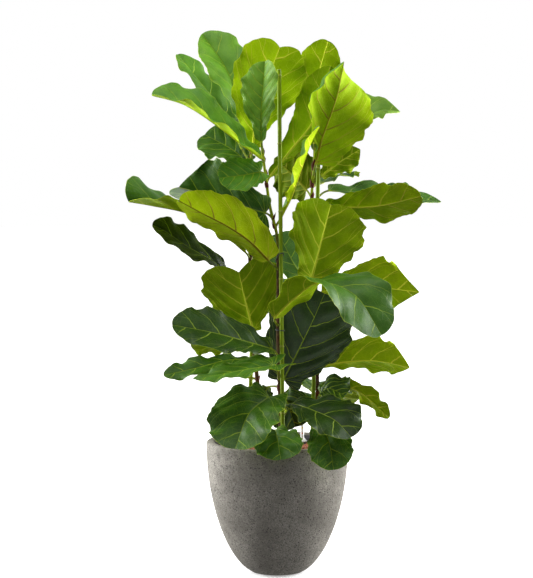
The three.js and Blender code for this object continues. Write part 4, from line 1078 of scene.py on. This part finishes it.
def blade_faces(leaf, midrib, t, v):
    """Upper and lower points of a blade, for rows t along it and columns v across it.

    Across, each half is an arc that starts from the midrib at the leaf's fold and ends at its curl.
    The margins are swept back at the base and ahead at the tip, and waved. On that lie a bulge
    between neighbouring side veins and a small ripple close to the margin, and the midrib stands
    out below as half a round.
    """
    t, v = t[:, None], v[None]
    side = (v > 0).astype(int)
    sign = np.where(v < 0, -1, 1)
    reach = np.abs(v)

    def pick(pair):
        return np.where(side == 1, pair[1], pair[0])

    point, along = walk(midrib, t[:, 0])
    turned = t ** leaf["late"]
    up = mix(*leaf["up"], turned)
    up = unit(up - along * (up * along).sum(-1, keepdims=True))
    right = np.cross(along, up)
    beat = 2 * np.pi * (EDGE["waves"] * t + 0.37 * side)
    quick = 2 * np.pi * (EDGE["ripples"] * t + 0.6 * side)
    half = leaf["width"] / 2 * blade_profile(t, pick(leaf["full"])) * (1 + 0.04 * np.sin(1.7 * beat + 1))
    half = half * (1 + EDGE["depth"] * reach**4 * (np.sin(quick) + 0.7 * np.sin(1.9 * quick + 2)))
    fold = mix(pick(leaf["fold"]), pick(leaf["tip_fold"]), turned) + leaf["cup"] * (1 - t) ** 3
    curl = mix(pick(leaf["curl"]), pick(leaf["tip_curl"]), turned)
    slope = np.radians(mix(fold, curl, reach))
    out, rise = arc_reach(reach * half, np.radians(fold), slope)
    sweep = half * reach**1.6 * (pick(leaf["notch"]) * t**4 - leaf["lobe"] * (1 - t) ** 4)
    length = path_length(midrib)[-1]
    counts = [vein_count(t * length + sweep, reach * half, length, leaf["width"] / 2, leaf["pairs"], s)
        for s in (0, 1)]
    hollow = np.sin(np.pi * pick([counts[0][0], counts[1][0]])) ** 2
    quilt = VEINS["quilt"] * leaf["width"] / 160 * hollow * np.minimum(1, 5 * reach) * (1 - reach**5)
    waved = leaf["wave"] * np.sin(beat) * reach**2 + EDGE["rise"] * reach**7 * np.sin(0.8 * quick + 1)
    ripple = (waved + quilt) * np.minimum(1, np.minimum(4 * t, 5 * (1 - t)))
    right = right[:, None] * sign[..., None]
    facing = up[:, None] * np.cos(slope)[..., None] - right * np.sin(slope)[..., None]
    upper = (point[:, None] + right * out[..., None] + up[:, None] * rise[..., None]
        + along[:, None] * sweep[..., None] + facing * ripple[..., None])
    rib = mix(BLADE["midrib"], BLADE["midrib_tip"], t)
    bulge = rib * np.sqrt(np.clip(1 - (reach * half / rib) ** 2, 0, None))
    thickness = BLADE["thickness"] * (1 - 0.35 * reach**3) + bulge
    return upper, upper - facing * thickness[..., None], counts, half, length


def blade_rows(length):
    """Places along a blade, closer together at its base and tip: an even row mixed with its cosine."""
    share = np.linspace(0, 1, int(length / BLADE["row_step"]) + 24)[1:-1]
    return mix(share, 0.5 - 0.5 * np.cos(np.pi * share), 0.75)


def blade_columns(width):
    """Places across a blade, with three close columns at each side of the midrib."""
    half = np.linspace(0, 1, int(width / 2 / BLADE["column_step"]) + 4)[1:] ** 1.05
    close = np.array([1.0, 2.0, 3.2]) / (width / 2)
    half = np.concatenate([close, half[half > close[-1] * 1.3]])
    return np.concatenate([-half[::-1], [0], half])


def petiole_rings(leaf, root, midrib, columns):
    """Rings of a leaf's stalk, round and thickest at the stem, along the curve from its root."""
    path = sample_curve([root, midrib[0], midrib[SPAN_STEPS]])[: SPAN_STEPS + 1]
    share = np.linspace(0, PETIOLE["end"], PETIOLE["rings"])
    centres, along = walk(path, share)
    up = leaf["up"][0]
    up = unit(up - along * (along @ up)[:, None])
    angle = (np.arange(2 * columns) + 0.5) * np.pi / columns
    girth = mix(*PETIOLE["girth"], np.minimum(1, share / PETIOLE["slims_by"]))
    return rings_round(centres, PETIOLE["radius"] * girth, np.cross(up, along), up, angle)


def leaf_piece(name, axes, finishes):
    """One leaf: a round stalk that flattens into a thin blade, as one closed skin of rings.

    Each ring runs over the upper face from left to right and back under it. The material's maps
    hold the distances along and across the blade, and the counts of side veins and of their forks.
    """
    leaf = read_leaf(name)
    root = at_height(axes[name.split("_")[0]], leaf["root"])[0]
    midrib = sample_curve(place(leaf["spine"]))
    t, v = blade_rows(path_length(midrib)[-1]), blade_columns(leaf["width"])
    upper, lower, counts, half, length = blade_faces(leaf, midrib, t, v)
    stalk = petiole_rings(leaf, root, midrib, len(v))
    rings = np.concatenate([stalk, np.concatenate([upper, lower[:, ::-1]], 1)])
    points, quads, triangles = closed_skin(rings, root, midrib[-1])
    piece = make_piece(f"fig_{name}", points, quads, triangles, finishes[leaf["tone"]],
        f"leaf_{leaf['tone']}", [f"leaf_{name}"])
    # light holds each leaf's own tone and, on leaves that stand in shade, painted shade.
    looks = dict(light=leaf["light"], hue=0.5 - 0.05 * leaf["warm"], ribs=leaf["ribs"])
    for key, number in looks.items():
        set_floats(piece, key, np.full(len(points), number))
    paint_leaf(piece, t, v, counts, half, length, len(stalk), quads, triangles)


def paint_leaf(piece, t, v, counts, half, length, stalk_rings, quads, triangles):
    """Gives a leaf the numbers and maps that its materials read, and its three materials' faces."""
    columns = len(v)
    reach, share, across = np.broadcast_arrays(np.abs(v)[None], t[:, None], v[None])
    spacing = np.where(across > 0, counts[1][1], counts[0][1]) * MM

    def wrap(rows):
        """Values of the blade's rows carried round its rings and down its stalk, then the hubs."""
        doubled = np.concatenate([rows, rows[:, ::-1]], 1)
        flat = np.concatenate([np.repeat(doubled[:1], stalk_rings, 0), doubled]).ravel()
        return np.concatenate([flat, [flat[columns // 2], rows[-1, columns // 2]]])

    for key, rows in (("reach", reach), ("share", share), ("spacing", spacing)):
        set_floats(piece, key, wrap(rows))
    corners = np.concatenate([quads.ravel(), triangles.ravel()])
    sizes = np.repeat([4, 3], [len(quads), len(triangles)])
    face_right = np.add.reduceat(wrap(across)[corners], np.cumsum(sizes) - sizes) > 0
    left, right = (wrap(count)[corners] for count, _ in counts)
    count = np.where(np.repeat(face_right, sizes), right, left)
    fork_gap = VEINS["fork_gap"] * smooth_step(VEINS["fork_from"], 0.95, reach)
    set_map(piece, "veins", np.stack([count, count - wrap(fork_gap)[corners]], -1))
    flat = np.stack([wrap(share * length)[corners], wrap(across * half)[corners]], -1) * MM
    set_map(piece, "flat", flat)
    ring, place_in_ring = np.divmod(np.arange(len(quads)), 2 * columns)
    material = np.where(ring < stalk_rings - 1, 2, np.where(place_in_ring < columns - 1, 0, 1))
    material = np.concatenate([material, np.full(2 * columns, 2), np.full(2 * columns, 0)])
    piece.data.polygons.foreach_set("material_index", material.astype(np.int32))


# ---- Floor, light and camera


def floor_piece():
    """Large pale floor that the pot stands on, which glows more the further it is from the pot, so
    that it runs on into the white room. The glow is painted light, weakest near the pot, so that the
    floor is darker round it: painted shade beside the real shadow there."""
    finish = Finish("studio_floor", 1.0, gloss=0.0)
    x, y, _ = finish.split(finish.place())
    distance = finish.math("SQRT", finish.math("ADD", finish.times(x, x), finish.times(y, y)))
    # Painted light: the floor's glow, weakest near the pot, where it leaves a painted shade round the pot.
    painted_glow = finish.step(distance, FLOOR["start"], FLOOR["end"], FLOOR["near"], FLOOR["far"])
    finish.set("Base Color", (FLOOR["shade"], FLOOR["shade"], FLOOR["shade"], 1))
    finish.set("Emission Color", (1, 1, 1, 1))
    finish.set("Emission Strength", painted_glow)
    mesh = bpy.data.meshes.new("studio_floor")
    size = FLOOR["half_side"]
    corners = [(-size, -size, 0), (size, -size, 0), (size, size, 0), (-size, size, 0)]
    mesh.from_pydata(corners, [], [(0, 1, 2, 3)])
    mesh.materials.append(finish.material)
    floor = add_object("studio_floor", mesh)
    floor.visible_diffuse = False


def area_light(name, place_m, target_m, size_m, power):
    """Soft square lamp that looks at a point."""
    light = bpy.data.lights.new(name, "AREA")
    light.energy = power
    light.size = size_m
    lamp = add_object(name, light)
    lamp.location = place_m
    lamp.rotation_euler = aim(place_m, target_m)


def aim(place_m, target_m):
    """Turn that points an object's -Z at a target, with its top up."""
    x, y, z = np.array(target_m) - np.array(place_m)
    return (np.pi / 2 + np.arctan2(z, np.hypot(x, y)), 0, np.arctan2(y, x) - np.pi / 2)


def studio_light():
    """Soft light: a white room that is dimmer at the front and below, and large lamps at both sides
    and above.

    The room's light grows from the front to the back with a smooth step of the direction's own y
    and z. Where the room itself is seen it is plain white.
    """
    world = bpy.data.worlds.new("studio")
    world.use_nodes = True
    nodes = Nodes(world.node_tree)
    _, y, z = nodes.split(nodes.node("TexCoord").outputs["Generated"])
    back = nodes.math("MULTIPLY_ADD", z, ROOM["from_above"], y)
    level = nodes.step(back, -0.6, 0.5, ROOM["front"], ROOM["back"])
    seen = nodes.node("LightPath").outputs["Is Camera Ray"]
    strength = nodes.node("Mix", {0: seen, 2: level, 3: ROOM["seen"]}).outputs[0]
    background = world.node_tree.nodes["Background"]
    nodes.put(background.inputs["Strength"], strength)
    nodes.put(background.inputs["Color"], (1, 1, 1, 1))
    bpy.context.scene.world = world
    bpy.context.scene.view_settings.view_transform = "Standard"
    for name, (spot, size, power) in LAMPS.items():
        area_light(name, spot, LAMP_TARGET, size, power)


def photo_camera():
    """Camera at the photograph's distance, height and tilt, with its angle of view."""
    camera = bpy.data.cameras.new("photo_camera")
    camera.lens = CAMERA["lens"]
    camera.sensor_width = CAMERA["sensor"]
    viewer = add_object("photo_camera", camera)
    viewer.location = CAMERA["place"]
    viewer.rotation_euler = (np.radians(90 - CAMERA["tilt"]), 0, 0)
    bpy.context.scene.camera = viewer


def dress_plant():
    """Makes every piece with its finish."""
    pot_piece(concrete_finish())
    liner_piece(plain_finish("liner_plastic", tint(24, 24, 26), 0.45))
    granules_piece(clay_finish())
    marks = {"gauge_mark_high": plain_finish("mark_yellow", tint(236, 214, 96), 0.4),
        "gauge_mark_low": plain_finish("mark_orange", tint(226, 84, 48), 0.4)}
    gauge_pieces(plain_finish("gauge_white", tint(232, 232, 238), 0.35),
        plain_finish("gauge_grey", tint(52, 48, 58), 0.5), marks)
    bark, scale, cane = bark_finish(), stipule_finish(), cane_finish()
    wire = plain_finish("tie_wire", tint(22, 26, 22), 0.45)
    for name in STEMS:
        stem_piece(name, bark)
        scales_piece(name, scale)
    for name in CANES:
        cane_piece(name, cane)
    for name in TIES:
        tie_piece(name, wire)
    axes = {name: stem_axis(stem) for name, stem in STEMS.items()}
    finishes = leaf_finishes()
    for name in LEAVES:
        leaf_piece(name, axes, finishes)


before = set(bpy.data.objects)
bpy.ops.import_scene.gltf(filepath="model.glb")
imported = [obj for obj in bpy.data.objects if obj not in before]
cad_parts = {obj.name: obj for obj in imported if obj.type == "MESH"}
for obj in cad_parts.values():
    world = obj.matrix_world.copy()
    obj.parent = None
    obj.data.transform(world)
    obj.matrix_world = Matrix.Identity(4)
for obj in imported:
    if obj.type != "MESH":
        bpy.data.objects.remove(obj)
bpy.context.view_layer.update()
dress_plant()
floor_piece()
studio_light()
photo_camera()
